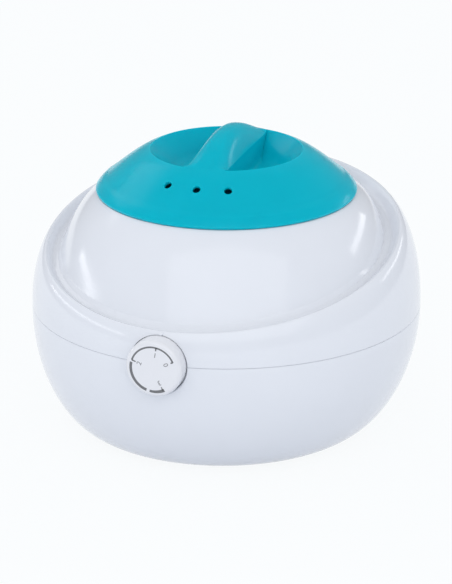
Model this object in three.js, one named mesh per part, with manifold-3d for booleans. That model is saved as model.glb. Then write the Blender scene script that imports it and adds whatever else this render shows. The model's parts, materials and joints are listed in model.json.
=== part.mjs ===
// Wax warmer: a round two-part casing with a heated well, a lift-out wax pot with a bail,
// a loose lid and a thermostat knob. Millimetres, +Z up, the knob faces -Y, and the origin
// is on the table, on the axis of the casing.
import * as THREE from 'three';
import { mergeVertices } from 'three/addons/utils/BufferGeometryUtils.js';
import Module from 'manifold-3d';

const wasm = await Module();
wasm.setup();

// Driving dimensions
const wellRadius = 66; // of the heating well, from which every radius is worked out
const casingReach = 41.5; // of the casing's parting line past the land that the lid rests on
const partingHeight = 77; // of the parting line above the table
const seatRise = 72; // of the lid's land above the parting line
const wall = 2.5; // of both casing halves
const fit = 0.3; // clearance of pieces that rest on or pass through each other
const overrun = 30; // of cuts past what they cut

// Facet counts
const facets = 44; // round the casing
const innerFacets = 36; // round the well, the pot and the lid
const knobFacets = 24; // round the knob, its recess and the feet
const smallFacets = 10; // round screws, holes and bosses
const wireFacets = 6; // round leads and tubes
const bailFacets = 8;
const barFacets = 12; // over the arch of the lid's grip bar
const nutSides = 6;

// Upper casing: a rim whose crest rises to the back, a groove inside it, then the dome
const rim = { inset: 11.7, shift: -7.2, rise: 46.2, slope: 0.225, outPower: 1.37, upPower: 0.96 };
const groove = { inset: 17.6, shift: -8.8, rise: 41.8, slope: 0.208 };
const domeFoot = { inset: 20.9, shift: -10.3, rise: 42.7, slope: 0.207 };
const domeBead = { inset: 22.6, shift: -9.8, rise: 46.6, slope: 0.225 };
const domeBulge = 1.6; // of the dome's side over a straight cone
const cornerSteps = 3; // of a quarter turn
const rimSteps = 7;
const domeSteps = 5;
const rimWallSteps = 5; // of the wall's inner face, which is coarser
const domeWallSteps = 3;

// Lower casing: a belly that draws in to a base ring nearer the front
const base = { inset: 35.4, shift: -7.5, level: 3, inPower: 1.25 };
const baseSteps = 8;
const baseWallSteps = 5;
const tongue = { thickness: 1.6, rise: 3, root: 8, clearance: 3.7 };

// Opening at the top of the dome
const rebate = { width: 8.7, land: 3.3, depth: 3 };
const opening = { gap: 2.5 }; // between the well and the edge of the opening
const gasket = { thickness: 1 };

// Heating well and what is fixed to it
const well = { depth: 81.5, wall: 1.5, corner: 8, flange: 1.5 };
const wellScrew = {
  radius: 1.4, head: 2.6, headDepth: 1.2, length: 9, boss: 3.4, bossDepth: 9.5, count: 4,
};
const band = {
  rise: 20.5, height: 34, thickness: 2, gapDegrees: 9,
  lugGap: 7, lugThickness: 1.4, lugReach: 7, screwShare: 0.6,
};
const bandScrew = { radius: 1.5, head: 2.8, headDepth: 2, nut: 3.2, spare: 3 };
const bandTab = { width: 5, thickness: 0.8, drop: 4, degrees: [-52, -38] };
const insulation = { rise: 18.5, headroom: 7.6, thickness: 8, notchDegrees: 11 };
const bulb = { radius: 2.5, length: 30, rise: 12, degrees: 215 };
const bulbClip = { thickness: 0.8, width: 8, flange: 3.2 };
const fuse = { radius: 1.9, length: 12, y: -30 };
const fuseClip = { thickness: 0.6, width: 5, flange: 3 };
const earthScrew = { radius: 1.5, head: 3, headDepth: 2, length: 3, x: 26, y: 0 };
const shield = {
  reach: 11.5, drop: 9.5, thickness: 1, rim: 15,
  leadHole: 4, leadHoleCircle: 44, leadHoleDegrees: [-40, 40, 220],
};
const shieldScrew = {
  inset: 9.5, radius: 1.4, head: 3, headDepth: 1.8, length: 10, post: 4.5,
  degrees: [30, 150, 270],
};

// Wax pot, its bail and its lid
const pot = { gap: 1.3, taper: 3.2, wall: 1.2, floorGap: 2, corner: 8, flangeInset: 1.9 };
const ear = { thickness: 2.4, width: 8, height: 5, inset: 7.1, holeRadius: 1.7, holeRise: 2.6 };
const bail = { wire: 1.3, offset: 3, bend: 2.5, steps: 40, points: 13, startDegrees: 5 };
const lid = { overhang: 0.6, height: 39.5, wall: 2.2, turnDegrees: 2.4 };
const lidRadiusShares = [0, 0.197, 0.395, 0.584, 0.69, 0.814, 0.906, 0.927, 0.972, 0.995, 1, 0.991];
const lidHeightShares = [1, 0.963, 0.849, 0.67, 0.562, 0.38, 0.223, 0.192, 0.116, 0.066, 0.046, 0];
const crownPoints = 4; // of that profile, from the crown to the mouth of the recess
const recess = {
  inset: 33.6, mouthRise: 26.7, wallReach: 13.5, floorRise: 12, corner: 4,
  barHalfWidth: 13, barRise: 25.7, barPower: 2.5,
};
const vent = { radius: 2.4, reach: 14, lean: 6, degrees: [-18, 0, 18] };

// Knob and thermostat
const knob = { radius: 17.5, reach: 8, height: 10.9, fillet: 2.8, face: 2, wall: 1.8, hub: 6 };
const dish = { clearance: 0.8, backing: 3, backingLand: 1 }; // recess round the knob
const indexDot = { radius: 1.3, x: 1, sideShare: 0.792 }; // from the parting line to the crest
const shaft = { radius: 3, flat: 0.9, flatLength: 8, clearance: 1.5, depth: 7 };
const bracket = { width: 36, thickness: 1.5, gap: 3.8, below: 21, above: 13, foot: 22 };
const bracketScrew = { x: 12, inset: 7, radius: 1.4, head: 2.8, headDepth: 1.8, length: 9, post: 4.2 };
const control = { width: 30, height: 30, depth: 22 };
const controlScrew = { x: 11.5, radius: 1.4, head: 2.6, headDepth: 1.6, length: 6 };
const capillary = { radius: 0.9, rise: 4, entry: 12.7, steps: 20 };
const capillaryShares = [[0.426, 0.372, 0], [0.621, 0.744, 1], [0.815, 1, 1]]; // of its way in X, Y and Z

// Bottom fittings
const foot = { radius: 8, sunk: 1, inset: 14.6, chamfer: 1, degrees: [45, 135, 225, 315] };
const housingScrew = {
  radius: 1.9, head: 4, headDepth: 3, length: 21, degrees: [60, 120, 240, 300],
};
const housingPost = { radius: 6.5, boss: 4.3, drop: 19, clearance: 0.7, roof: 6 };
const gland = {
  drop: 19, bore: 3.9, body: 6.2, flange: 9, flangeDepth: 3, stub: 6, reach: 8,
  pad: 10.5, padDepth: 10,
};
const glandNut = { radius: 9, depth: 3.5 };
const block = { width: 34, depth: 16, height: 13, inset: 7.1, pad: 4.5, screwX: 12.5, leadRise: 5 };
const port = { x: 8, drop: 9 }; // where the leads enter the thermostat
const blockScrew = { radius: 1.5, head: 2.8, headDepth: 1.6, length: 14 };
const clampScrew = { radius: 1.6, length: 5, spacing: 6.5, rowOffset: 4.5, depth: 6, columns: [-1, 0, 1] };
const leadRadius = 1.2;
const leadStepsPerPoint = 3;

// Places worked out from the sizes above
const openingRadius = wellRadius + opening.gap;
const rebateRadius = openingRadius + rebate.width;
const seatRadius = rebateRadius + rebate.land;
const casingRadius = seatRadius + casingReach;
const baseRadius = casingRadius - base.inset;
const seatLevel = partingHeight + seatRise;
const rebateLevel = seatLevel - rebate.depth;
const wellFloorLevel = seatLevel - well.depth;
const bandLevel = wellFloorLevel + band.rise;
const insulationLevel = wellFloorLevel + insulation.rise;
const bulbLevel = wellFloorLevel + bulb.rise;
const shieldRadius = wellRadius + shield.reach;
const shieldLevel = wellFloorLevel - shield.drop;
const gasketLevel = rebateLevel + fit;
const wellFlangeLevel = gasketLevel + gasket.thickness + fit;
const wellRimLevel = wellFlangeLevel + well.flange;
const wellFlangeRadius = rebateRadius - fit;
const screwCircle = (openingRadius + rebateRadius) / 2;
const potRadius = wellRadius - well.wall - pot.gap;
const potFloorLevel = wellFloorLevel + well.wall + pot.floorGap;
const potFlangeLevel = wellRimLevel + fit;
const potRimLevel = potFlangeLevel + pot.wall;
const potFlangeRadius = wellFlangeRadius - pot.flangeInset;
const lidLevel = seatLevel + fit;
const lidRadius = seatRadius + lid.overhang;
const recessRadius = lidRadius - recess.inset;
const recessFloorRadius = recessRadius - recess.wallReach;
const ventCircle = recessRadius + vent.reach;
const pivotLevel = potRimLevel + ear.holeRise;
const earFace = potFlangeRadius - ear.inset + ear.thickness;
const dishRadius = knob.radius + dish.clearance;
const faceY = -(casingRadius + knob.reach);
const knobBackY = faceY + knob.height;
const dishFloorY = knobBackY + dish.clearance;
const bracketFrontY = dishFloorY + dish.backing + bracket.gap;
const bracketFootLevel = partingHeight - bracket.below;
const controlFrontY = bracketFrontY + bracket.thickness + fit;
const postTop = partingHeight - housingPost.drop;
const postCircle = shieldRadius + housingPost.radius;
const postBore = housingScrew.head + housingPost.clearance;
const passageRadius = shaft.radius + shaft.clearance;
const blockLevel = base.level + wall + block.pad + fit;
const blockY = baseRadius + base.shift - block.inset;
const glandLevel = partingHeight - gland.drop;

const radians = THREE.MathUtils.degToRad;
const mix = THREE.MathUtils.lerp;

// Shapes

// A level or tilted circle of points round the casing
function ring(radius, centreY, level, slope = 0) {
  return Array.from({ length: facets }, (_, index) => {
    const angle = (index / facets) * Math.PI * 2;
    const y = centreY + radius * Math.sin(angle);
    return [radius * Math.cos(angle), y, level + slope * y];
  });
}

// A closed body through rings listed from the bottom up, with flat ends
function loft(rings) {
  const sides = rings[0].length;
  const points = rings.flat();
  const faces = [];
  rings.slice(1).forEach((_, level) => {
    for (let index = 0; index < sides; index += 1) {
      const a = level * sides + index;
      const b = level * sides + ((index + 1) % sides);
      faces.push(a, b, b + sides, a, b + sides, a + sides);
    }
  });
  for (let index = 1; index < sides - 1; index += 1) {
    const last = (rings.length - 1) * sides;
    faces.push(0, index + 1, index, last, last + index, last + index + 1);
  }
  const geometry = new THREE.BufferGeometry();
  geometry.setAttribute('position', new THREE.Float32BufferAttribute(points.flat(), 3));
  geometry.setIndex(faces);
  return geometry;
}

// A profile of [radius, height] points turned about the Z axis
function turned(profile, sides = smallFacets) {
  const points = profile.map(([radius, height]) => new THREE.Vector2(radius, height));
  return new THREE.LatheGeometry(points, sides).rotateX(Math.PI / 2);
}

// A ring of rectangular section
function collar(inner, outer, bottom, top, sides = innerFacets) {
  return turned([[inner, bottom], [outer, bottom], [outer, top], [inner, top], [inner, bottom]], sides);
}

// An upright cylinder
function disc(radius, bottom, top, x = 0, y = 0, sides = smallFacets) {
  const profile = [[0, bottom], [radius, bottom], [radius, top], [0, top]];
  return turned(profile, sides).translate(x, y, 0);
}

// A cylinder between two points
function rod(radius, from, to, sides = smallFacets) {
  const [start, end] = [new THREE.Vector3(...from), new THREE.Vector3(...to)];
  const along = end.clone().sub(start);
  const up = new THREE.Vector3(0, 0, 1);
  const turn = new THREE.Quaternion().setFromUnitVectors(up, along.clone().normalize());
  return disc(radius, 0, along.length(), 0, 0, sides).applyQuaternion(turn).translate(...start.toArray());
}

function box(width, depth, height, x, y, z) {
  return new THREE.BoxGeometry(width, depth, height).translate(x, y, z);
}

// A round wire along a smooth curve through points
function wire(points, radius, steps, sides = wireFacets) {
  const curve = new THREE.CatmullRomCurve3(points.map((point) => new THREE.Vector3(...point)));
  const section = new THREE.Shape().absarc(0, 0, radius, 0, Math.PI * 2);
  return new THREE.ExtrudeGeometry(section, {
    steps, extrudePath: curve, bevelEnabled: false, curveSegments: sides / 2,
  });
}

// A sector of a ring that leaves a gap round +Y
function openRing(inner, outer, bottom, height, gapDegrees) {
  const [from, to] = [radians(90 + gapDegrees), radians(450 - gapDegrees)];
  const shape = new THREE.Shape().absarc(0, 0, outer, from, to).absarc(0, 0, inner, to, from, true);
  const options = { depth: height, bevelEnabled: false, curveSegments: innerFacets / 2 };
  return new THREE.ExtrudeGeometry(shape, options).translate(0, 0, bottom);
}

// A strap bent over a round piece, its back on the XZ plane at y = 0 and its hump towards +Y
function hatStrap({ thickness, width, flange }, heldRadius) {
  const inside = heldRadius + fit;
  const outside = inside + thickness;
  const hump = 2 * heldRadius + 2 * fit;
  const half = [
    [inside + flange, 0], [inside + flange, thickness], [outside, thickness], [outside, hump + thickness],
  ];
  const mirrored = half.map(([x, y]) => [-x, y]).reverse();
  const under = [[-inside, 0], [-inside, hump], [inside, hump], [inside, 0]];
  const shape = new THREE.Shape([...half, ...mirrored, ...under].map(([x, y]) => new THREE.Vector2(x, y)));
  const options = { depth: width, bevelEnabled: false };
  return new THREE.ExtrudeGeometry(shape, options).translate(0, 0, -width / 2);
}

// Points of a profile moved inwards by a distance, square to the profile
function insetProfile(profile, distance) {
  return profile.map(([radius, height], index) => {
    const [fromRadius, fromHeight] = profile[Math.max(index - 1, 0)];
    const [toRadius, toHeight] = profile[Math.min(index + 1, profile.length - 1)];
    const length = Math.hypot(toRadius - fromRadius, toHeight - fromHeight);
    const across = (distance * (toHeight - fromHeight)) / length;
    const down = (distance * (toRadius - fromRadius)) / length;
    return [radius === 0 ? 0 : radius + across, height - (radius === 0 ? distance : down)];
  });
}

// Cutting and joining

// A closed geometry as a solid
function solid(geometry) {
  const bare = geometry.clone();
  bare.deleteAttribute('normal');
  bare.deleteAttribute('uv');
  const merged = mergeVertices(bare);
  const index = merged.index.array;
  const faces = [];
  for (let at = 0; at < index.length; at += 3) {
    const [a, b, c] = [index[at], index[at + 1], index[at + 2]];
    if (a !== b && b !== c && c !== a) faces.push(a, b, c);
  }
  const mesh = new wasm.Mesh({
    numProp: 3,
    vertProperties: merged.attributes.position.array,
    triVerts: new Uint32Array(faces),
  });
  return new wasm.Manifold(mesh);
}

function joined(...geometries) {
  return geometries.map(solid).reduce((all, one) => all.add(one));
}

function without(body, ...geometries) {
  return geometries.map(solid).reduce((left, tool) => left.subtract(tool), body);
}

function geometryOf(body) {
  const { vertProperties, triVerts } = body.getMesh();
  const geometry = new THREE.BufferGeometry();
  geometry.setAttribute('position', new THREE.BufferAttribute(vertProperties, 3));
  geometry.setIndex(new THREE.BufferAttribute(triVerts, 1));
  geometry.computeVertexNormals();
  return geometry;
}

function around(circle, degrees) {
  return [circle * Math.cos(radians(degrees)), circle * Math.sin(radians(degrees))];
}

// Upright screws, one at each place, whose shank runs up (1) or down (-1) from under the head
function screws({ radius, head, headDepth, length }, places, level, direction) {
  const shankEnd = level + direction * length;
  const headEnd = level - direction * headDepth;
  return places.map(([x, y]) => joined(
    disc(radius, Math.min(level, shankEnd), Math.max(level, shankEnd), x, y),
    disc(head, Math.min(level, headEnd), Math.max(level, headEnd), x, y),
  ));
}

// Casing surfaces

// One circle of the upper casing's side, from the parting line (0) to the crest (1)
function sideRing(share, depth) {
  const turn = (share * Math.PI) / 2;
  const out = Math.cos(turn) ** rim.outPower;
  const up = Math.sin(turn) ** rim.upPower;
  const radius = casingRadius - rim.inset * (1 - out) - depth * Math.cos(turn);
  const rise = rim.rise * up - depth * Math.sin(turn);
  return ring(radius, rim.shift * (1 - out), partingHeight + rise, rim.slope * up);
}

// One circle of the dome, from its bead (0) to the land under the lid (1)
function domeRing(share, depth) {
  const foot = casingRadius - domeBead.inset;
  const bulge = domeBulge * Math.sin(share * Math.PI);
  const radius = mix(foot, seatRadius, share) + bulge - depth;
  const rise = mix(domeBead.rise, seatRise, share) + bulge - depth * share;
  const slope = domeBead.slope * (1 - share);
  return ring(radius, domeBead.shift * (1 - share), partingHeight + rise, slope);
}

function shares(steps) {
  return Array.from({ length: steps + 1 }, (_, step) => step / steps);
}

// The space inside the upper casing's surface, or inside its wall
function upperFill(depth) {
  const dip = ({ inset, shift, rise, slope }) => ring(
    casingRadius - inset, shift, partingHeight + rise - depth, slope,
  );
  const top = depth > 0 ? rebateLevel - wall : seatLevel;
  const topRadius = seatRadius - depth;
  return loft([
    ...(depth > 0 ? [ring(casingRadius - depth, 0, partingHeight - overrun)] : []),
    ring(casingRadius - depth, 0, partingHeight + fit / 2),
    ...shares(depth > 0 ? rimWallSteps : rimSteps).slice(1).map((share) => sideRing(share, depth)),
    dip({ ...rim, inset: rim.inset + (groove.inset - rim.inset) / 2, rise: (rim.rise + groove.rise) / 2 }),
    dip(groove),
    dip(domeFoot),
    ...shares(depth > 0 ? domeWallSteps : domeSteps).slice(0, -1).map((share) => domeRing(share, depth)),
    ring(topRadius, 0, top),
  ]);
}

// The space inside the lower casing's surface, or inside its wall
function lowerFill(depth) {
  const floor = base.level + depth;
  const rings = shares(depth > 0 ? baseWallSteps : baseSteps).slice(1).map((share) => {
    const turn = (share * Math.PI) / 2;
    const out = Math.cos(turn) ** base.inPower;
    const level = partingHeight - (partingHeight - floor) * Math.sin(turn);
    return ring(mix(baseRadius, casingRadius, out) - depth, base.shift * share, level);
  });
  const top = depth > 0 ? overrun : -fit / 2;
  return loft([...rings.reverse(), ring(casingRadius - depth, 0, partingHeight + top)]);
}

const housingPlaces = housingScrew.degrees.map((degrees) => around(postCircle, degrees));
const shieldPlaces = shieldScrew.degrees.map((degrees) => (
  around(shieldRadius - shieldScrew.inset, degrees)
));
const wellPlaces = Array.from({ length: wellScrew.count }, (_, index) => (
  around(screwCircle, (index * 360) / wellScrew.count)
));
const bracketY = bracketFrontY + bracket.thickness + bracket.foot - bracketScrew.inset;
const bracketPlaces = [[-bracketScrew.x, bracketY], [bracketScrew.x, bracketY]];
const blockPlaces = [[-block.screwX, blockY], [block.screwX, blockY]];
const footPlaces = foot.degrees.map((degrees) => {
  const [x, y] = around(baseRadius - foot.inset, degrees);
  return [x, y + base.shift];
});

// A disc behind the knob's recess, and the cuts that the knob and its shaft need
const knobBacking = () => rod(
  dishRadius + dish.backingLand,
  [0, dishFloorY, partingHeight],
  [0, dishFloorY + dish.backing, partingHeight],
);
const knobRecess = () => rod(
  dishRadius, [0, faceY - overrun, partingHeight], [0, dishFloorY, partingHeight], knobFacets,
);
const shaftPassage = () => rod(
  passageRadius, [0, faceY, partingHeight], [0, dishFloorY + overrun / 2, partingHeight],
);

// Which side of the parting line a casing half keeps
function sideOf(direction) {
  const size = (casingRadius + overrun) * 2;
  const centre = partingHeight + (direction * (size + fit)) / 2;
  return solid(box(size, size, size, 0, 0, centre));
}

function upperHousing() {
  const outer = solid(upperFill(0));
  const shell = outer.subtract(solid(upperFill(wall)));
  const bosses = joined(
    ...housingPlaces.map(([x, y]) => disc(housingPost.boss, postTop + fit, seatLevel, x, y)),
    ...wellPlaces.map(([x, y]) => disc(
      wellScrew.boss, rebateLevel - wellScrew.bossDepth, rebateLevel, x, y,
    )),
  );
  const below = disc(casingRadius - rim.inset, base.level, partingHeight + fit, 0, 0, facets);
  const envelope = outer.add(solid(below));
  const upper = shell.add(bosses.intersect(envelope)).add(solid(knobBacking()).intersect(sideOf(1)));
  const [, dotY, dotLevel] = sideRing(indexDot.sideShare, 0)[(facets * 3) / 4];
  const dot = rod(
    indexDot.radius,
    [indexDot.x, dotY + indexDot.radius / 2, dotLevel - indexDot.radius],
    [indexDot.x, dotY - indexDot.radius / 2, dotLevel + indexDot.radius],
  );
  return without(
    upper.add(solid(dot)),
    disc(openingRadius, rebateLevel - wall - overrun / 2, seatLevel + overrun, 0, 0, facets),
    disc(rebateRadius, rebateLevel, seatLevel + overrun, 0, 0, facets),
    ...housingPlaces.map(([x, y]) => disc(
      housingScrew.radius + fit, postTop, postTop + housingScrew.length, x, y,
    )),
    ...wellPlaces.map(([x, y]) => disc(
      wellScrew.radius + fit, wellFlangeLevel - wellScrew.length, seatLevel, x, y,
    )),
    knobRecess(),
    shaftPassage(),
  );
}

function lowerHousing() {
  const outer = solid(lowerFill(0));
  const shell = outer.subtract(solid(lowerFill(wall)));
  const floor = base.level + wall / 2;
  const posts = joined(
    ...housingPlaces.map(([x, y]) => disc(housingPost.radius, floor, postTop, x, y)),
    ...shieldPlaces.map(([x, y]) => disc(shieldScrew.post, floor, shieldLevel - fit, x, y)),
    ...bracketPlaces.map(([x, y]) => disc(bracketScrew.post, floor, bracketFootLevel - fit, x, y)),
    box(block.width, block.depth, wall / 2 + block.pad, 0, blockY, floor + (wall / 2 + block.pad) / 2),
  );
  const tongueOuter = casingRadius - wall - 2 * fit;
  const rimRoot = collar(
    tongueOuter - tongue.thickness, casingRadius - wall / 2, partingHeight - tongue.root,
    partingHeight - fit / 2, facets,
  );
  const lip = collar(
    tongueOuter - tongue.thickness, tongueOuter, partingHeight - tongue.root,
    partingHeight + tongue.rise, facets,
  );
  const lipGap = box(
    (dishRadius + dish.backingLand + tongue.clearance) * 2, casingRadius, tongue.rise * 2,
    0, -casingRadius, partingHeight - fit / 2 + tongue.rise,
  );
  const pad = rod(
    gland.pad, [0, casingRadius - gland.padDepth, glandLevel], [0, casingRadius, glandLevel],
  );
  const lower = shell
    .add(posts.intersect(outer))
    .add(solid(rimRoot).intersect(outer))
    .add(without(solid(lip), lipGap))
    .add(solid(knobBacking()).intersect(sideOf(-1)))
    .add(solid(pad));
  return without(
    lower,
    ...housingPlaces.flatMap(([x, y]) => [
      disc(postBore, base.level - overrun, postTop - housingPost.roof, x, y),
      disc(housingScrew.radius + fit, base.level, postTop + overrun, x, y),
    ]),
    ...shieldPlaces.map(([x, y]) => pilot(shieldScrew, shieldLevel, x, y)),
    ...bracketPlaces.map(([x, y]) => pilot(bracketScrew, bracketFootLevel, x, y)),
    ...blockPlaces.map(([x, y]) => disc(
      blockScrew.radius + fit, base.level + wall / 2, blockLevel + overrun, x, y,
    )),
    ...footPlaces.map(([x, y]) => disc(
      foot.radius + fit, base.level - overrun, base.level + foot.sunk, x, y, knobFacets,
    )),
    rod(
      gland.body + fit,
      [0, casingRadius - overrun, glandLevel], [0, casingRadius + overrun, glandLevel],
    ),
    knobRecess(),
    shaftPassage(),
  );
}

// The hole that a screw through a plate needs below it
function pilot({ radius, length }, level, x, y) {
  return disc(radius + fit, level - length - fit, level + overrun, x, y);
}

function rubberFeet() {
  const top = base.level + foot.sunk - fit;
  const profile = [
    [0, 0], [foot.radius - foot.chamfer, 0], [foot.radius, foot.chamfer], [foot.radius, top], [0, top],
  ];
  return footPlaces.map(([x, y]) => turned(profile, knobFacets).translate(x, y, 0));
}

// A round pan with a rounded bottom corner and a level flange
function pan({
  topRadius, bottomRadius, thickness, floor, corner, flangeLevel, flangeThickness, flangeRadius,
}) {
  const turns = shares(cornerSteps).map((share) => (share * Math.PI) / 2);
  const inner = corner - thickness;
  return turned([
    [0, floor],
    ...turns.map((turn) => [
      bottomRadius - corner + corner * Math.sin(turn), floor + corner - corner * Math.cos(turn),
    ]),
    [topRadius, flangeLevel],
    [flangeRadius, flangeLevel],
    [flangeRadius, flangeLevel + flangeThickness],
    [topRadius - thickness, flangeLevel + flangeThickness],
    ...turns.map((turn) => [
      bottomRadius - corner + inner * Math.sin(turn), floor + corner - inner * Math.cos(turn),
    ]).reverse(),
    [0, floor + thickness],
  ], innerFacets);
}

function heatingWell() {
  const bowl = pan({
    topRadius: wellRadius, bottomRadius: wellRadius, thickness: well.wall, floor: wellFloorLevel,
    corner: well.corner, flangeLevel: wellFlangeLevel, flangeThickness: well.flange,
    flangeRadius: wellFlangeRadius,
  });
  return without(
    solid(bowl),
    ...wellPlaces.map(([x, y]) => turned([
      [0, wellFlangeLevel - overrun], [wellScrew.radius + fit, wellFlangeLevel - overrun],
      [wellScrew.radius + fit, wellRimLevel - wellScrew.headDepth],
      [wellScrew.head + fit, wellRimLevel], [wellScrew.head + fit, wellRimLevel + overrun],
      [0, wellRimLevel + overrun],
    ]).translate(x, y, 0)),
    disc(
      earthScrew.radius + fit, wellFloorLevel - overrun, wellFloorLevel + well.wall / 2,
      earthScrew.x, earthScrew.y,
    ),
  );
}

function gasketRing() {
  const flat = collar(openingRadius + fit, rebateRadius - fit, gasketLevel, gasketLevel + gasket.thickness);
  return without(
    solid(flat),
    ...wellPlaces.map(([x, y]) => disc(wellScrew.radius + fit, rebateLevel - overrun, seatLevel, x, y)),
  );
}

function wellScrews() {
  const { radius, head, headDepth, length } = wellScrew;
  const tip = wellFlangeLevel - length + fit;
  return wellPlaces.map(([x, y]) => turned([
    [0, tip], [radius, tip], [radius, wellRimLevel - headDepth], [head, wellRimLevel], [0, wellRimLevel],
  ]).translate(x, y, 0));
}

function heaterBand() {
  const inner = wellRadius + fit;
  const lugX = band.lugGap / 2 + band.lugThickness / 2;
  const lugDepth = band.thickness + band.lugReach;
  const lugs = [-lugX, lugX].map((x) => box(
    band.lugThickness, lugDepth, band.height / 2, x, inner + lugDepth / 2, bandLevel + band.height / 2,
  ));
  const bridges = [-1, 1].map((side) => {
    const width = Math.sin(radians(band.gapDegrees)) * (inner + band.thickness) - band.lugGap / 2;
    return box(
      width + band.thickness, band.thickness / 2, band.height / 2,
      side * (band.lugGap / 2 + (width + band.thickness) / 2), inner + band.thickness / 2,
      bandLevel + band.height / 2,
    );
  });
  const tabs = bandTab.degrees.map((degrees) => {
    const tab = box(bandTab.width, bandTab.thickness, bandTab.drop * 2, 0, 0, bandLevel);
    const [x, y] = around(inner + band.thickness - bandTab.thickness / 2, degrees);
    return tab.rotateZ(radians(degrees + 90)).translate(x, y, 0);
  });
  const strap = openRing(inner, inner + band.thickness, bandLevel, band.height, band.gapDegrees);
  const hole = bandScrewRod(bandScrew.radius + fit);
  return without(joined(strap, ...lugs, ...bridges, ...tabs), hole);
}

const bandScrewY = wellRadius + fit + band.thickness + band.lugReach * band.screwShare;
const bandScrewReach = band.lugGap / 2 + band.lugThickness + bandScrew.spare;

function bandScrewRod(radius) {
  const level = bandLevel + band.height / 2;
  return rod(radius, [-bandScrewReach, bandScrewY, level], [bandScrewReach, bandScrewY, level]);
}

function bandClampScrew() {
  const level = bandLevel + band.height / 2;
  const under = bandScrewReach - bandScrew.spare + fit;
  const head = rod(
    bandScrew.head, [-under - bandScrew.headDepth, bandScrewY, level], [-under, bandScrewY, level],
  );
  return without(joined(bandScrewRod(bandScrew.radius), head), box(
    bandScrew.spare, bandScrew.head * 2, bandScrew.head * 2,
    -under - bandScrew.headDepth - bandScrew.spare / 2, bandScrewY, level,
  ));
}

function bandClampNut() {
  const level = bandLevel + band.height / 2;
  const under = bandScrewReach - bandScrew.spare + fit;
  const end = under + bandScrew.headDepth;
  const nut = rod(bandScrew.nut, [under, bandScrewY, level], [end, bandScrewY, level], nutSides);
  return without(solid(nut), bandScrewRod(bandScrew.radius + fit));
}

function insulationWrap() {
  const inner = wellRadius + fit * 2 + band.thickness;
  const { thickness, headroom, notchDegrees } = insulation;
  const height = wellFlangeLevel - wellScrew.length - headroom - insulationLevel;
  return openRing(inner, inner + thickness, insulationLevel, height, notchDegrees);
}

function heatShield() {
  const { thickness, rim: edge } = shield;
  const [radius, level] = [shieldRadius, shieldLevel];
  const dishProfile = [
    [0, level], [radius, level], [radius, level + edge], [radius - thickness, level + edge],
    [radius - thickness, level + thickness], [0, level + thickness],
  ];
  return without(
    solid(turned(dishProfile, innerFacets)),
    ...shieldPlaces.map(([x, y]) => disc(shieldScrew.radius + fit, level - overrun, level + overrun, x, y)),
    ...shield.leadHoleDegrees.map((degrees) => {
      const [x, y] = around(shield.leadHoleCircle, degrees);
      return disc(shield.leadHole, level - overrun, level + overrun, x, y);
    }),
  );
}

// The bulb lies along a tangent of the well
function onBulb(geometry, outward) {
  const turn = radians(bulb.degrees);
  return geometry.rotateZ(turn).translate(outward * Math.cos(turn), outward * Math.sin(turn), bulbLevel);
}

const bulbOut = wellRadius + fit + bulb.radius;

function sensingBulb() {
  return onBulb(rod(bulb.radius, [0, -bulb.length / 2, 0], [0, bulb.length / 2, 0]), bulbOut);
}

// Turns a shape so that its X, Y and Z run along three other directions
function aligned(geometry, x, y, z) {
  const [alongX, alongY, alongZ] = [x, y, z].map((axis) => new THREE.Vector3(...axis));
  return geometry.applyMatrix4(new THREE.Matrix4().makeBasis(alongX, alongY, alongZ));
}

function bulbClipStrap() {
  const strap = aligned(hatStrap(bulbClip, bulb.radius), [0, 0, 1], [1, 0, 0], [0, 1, 0]);
  return onBulb(strap, wellRadius + fit);
}

const fuseLevel = wellFloorLevel - 2 * fit - fuse.radius;

function thermalFuse() {
  return rod(fuse.radius, [-fuse.length / 2, fuse.y, fuseLevel], [fuse.length / 2, fuse.y, fuseLevel]);
}

function fuseClipStrap() {
  const strap = aligned(hatStrap(fuseClip, fuse.radius), [0, -1, 0], [0, 0, -1], [1, 0, 0]);
  return strap.translate(0, fuse.y, wellFloorLevel - fit);
}

function waxPot() {
  const bowl = pan({
    topRadius: potRadius, bottomRadius: potRadius - pot.taper, thickness: pot.wall, floor: potFloorLevel,
    corner: pot.corner, flangeLevel: potFlangeLevel, flangeThickness: pot.wall,
    flangeRadius: potFlangeRadius,
  });
  const ears = [-1, 1].map((side) => box(
    ear.thickness, ear.width, ear.height + pot.wall / 2,
    side * (earFace - ear.thickness / 2), 0, potRimLevel + ear.height / 2 - pot.wall / 4,
  ));
  const hole = rod(ear.holeRadius, [-casingRadius, 0, pivotLevel], [casingRadius, 0, pivotLevel]);
  return without(joined(bowl, ...ears), hole);
}

// A wire hoop that lies on the back of the pot's rim, its ends turned in through the ears
function potBail() {
  const hoop = earFace + bail.offset / 2 + bail.wire;
  const pinEnd = earFace - ear.thickness - fit;
  const corner = [[hoop - bail.bend, 0, pivotLevel], [hoop - bail.bend / 5, bail.bend / 4, pivotLevel]];
  const turns = shares(bail.points - 1).map((share) => (
    radians(mix(bail.startDegrees, 180 - bail.startDegrees, share))
  ));
  return wire([
    [pinEnd, 0, pivotLevel], [earFace - ear.thickness / 2, 0, pivotLevel], ...corner,
    ...turns.map((turn) => [hoop * Math.cos(turn), hoop * Math.sin(turn), pivotLevel]),
    ...corner.map(([x, y, z]) => [-x, y, z]).reverse(),
    [-earFace + ear.thickness / 2, 0, pivotLevel], [-pinEnd, 0, pivotLevel],
  ], bail.wire, bail.steps, bailFacets);
}

// The lid's outer surface as a profile from the crown to the lower edge
const lidProfile = lidRadiusShares.map((share, index) => [
  share * lidRadius, lidLevel + lidHeightShares[index] * lid.height,
]);

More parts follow.
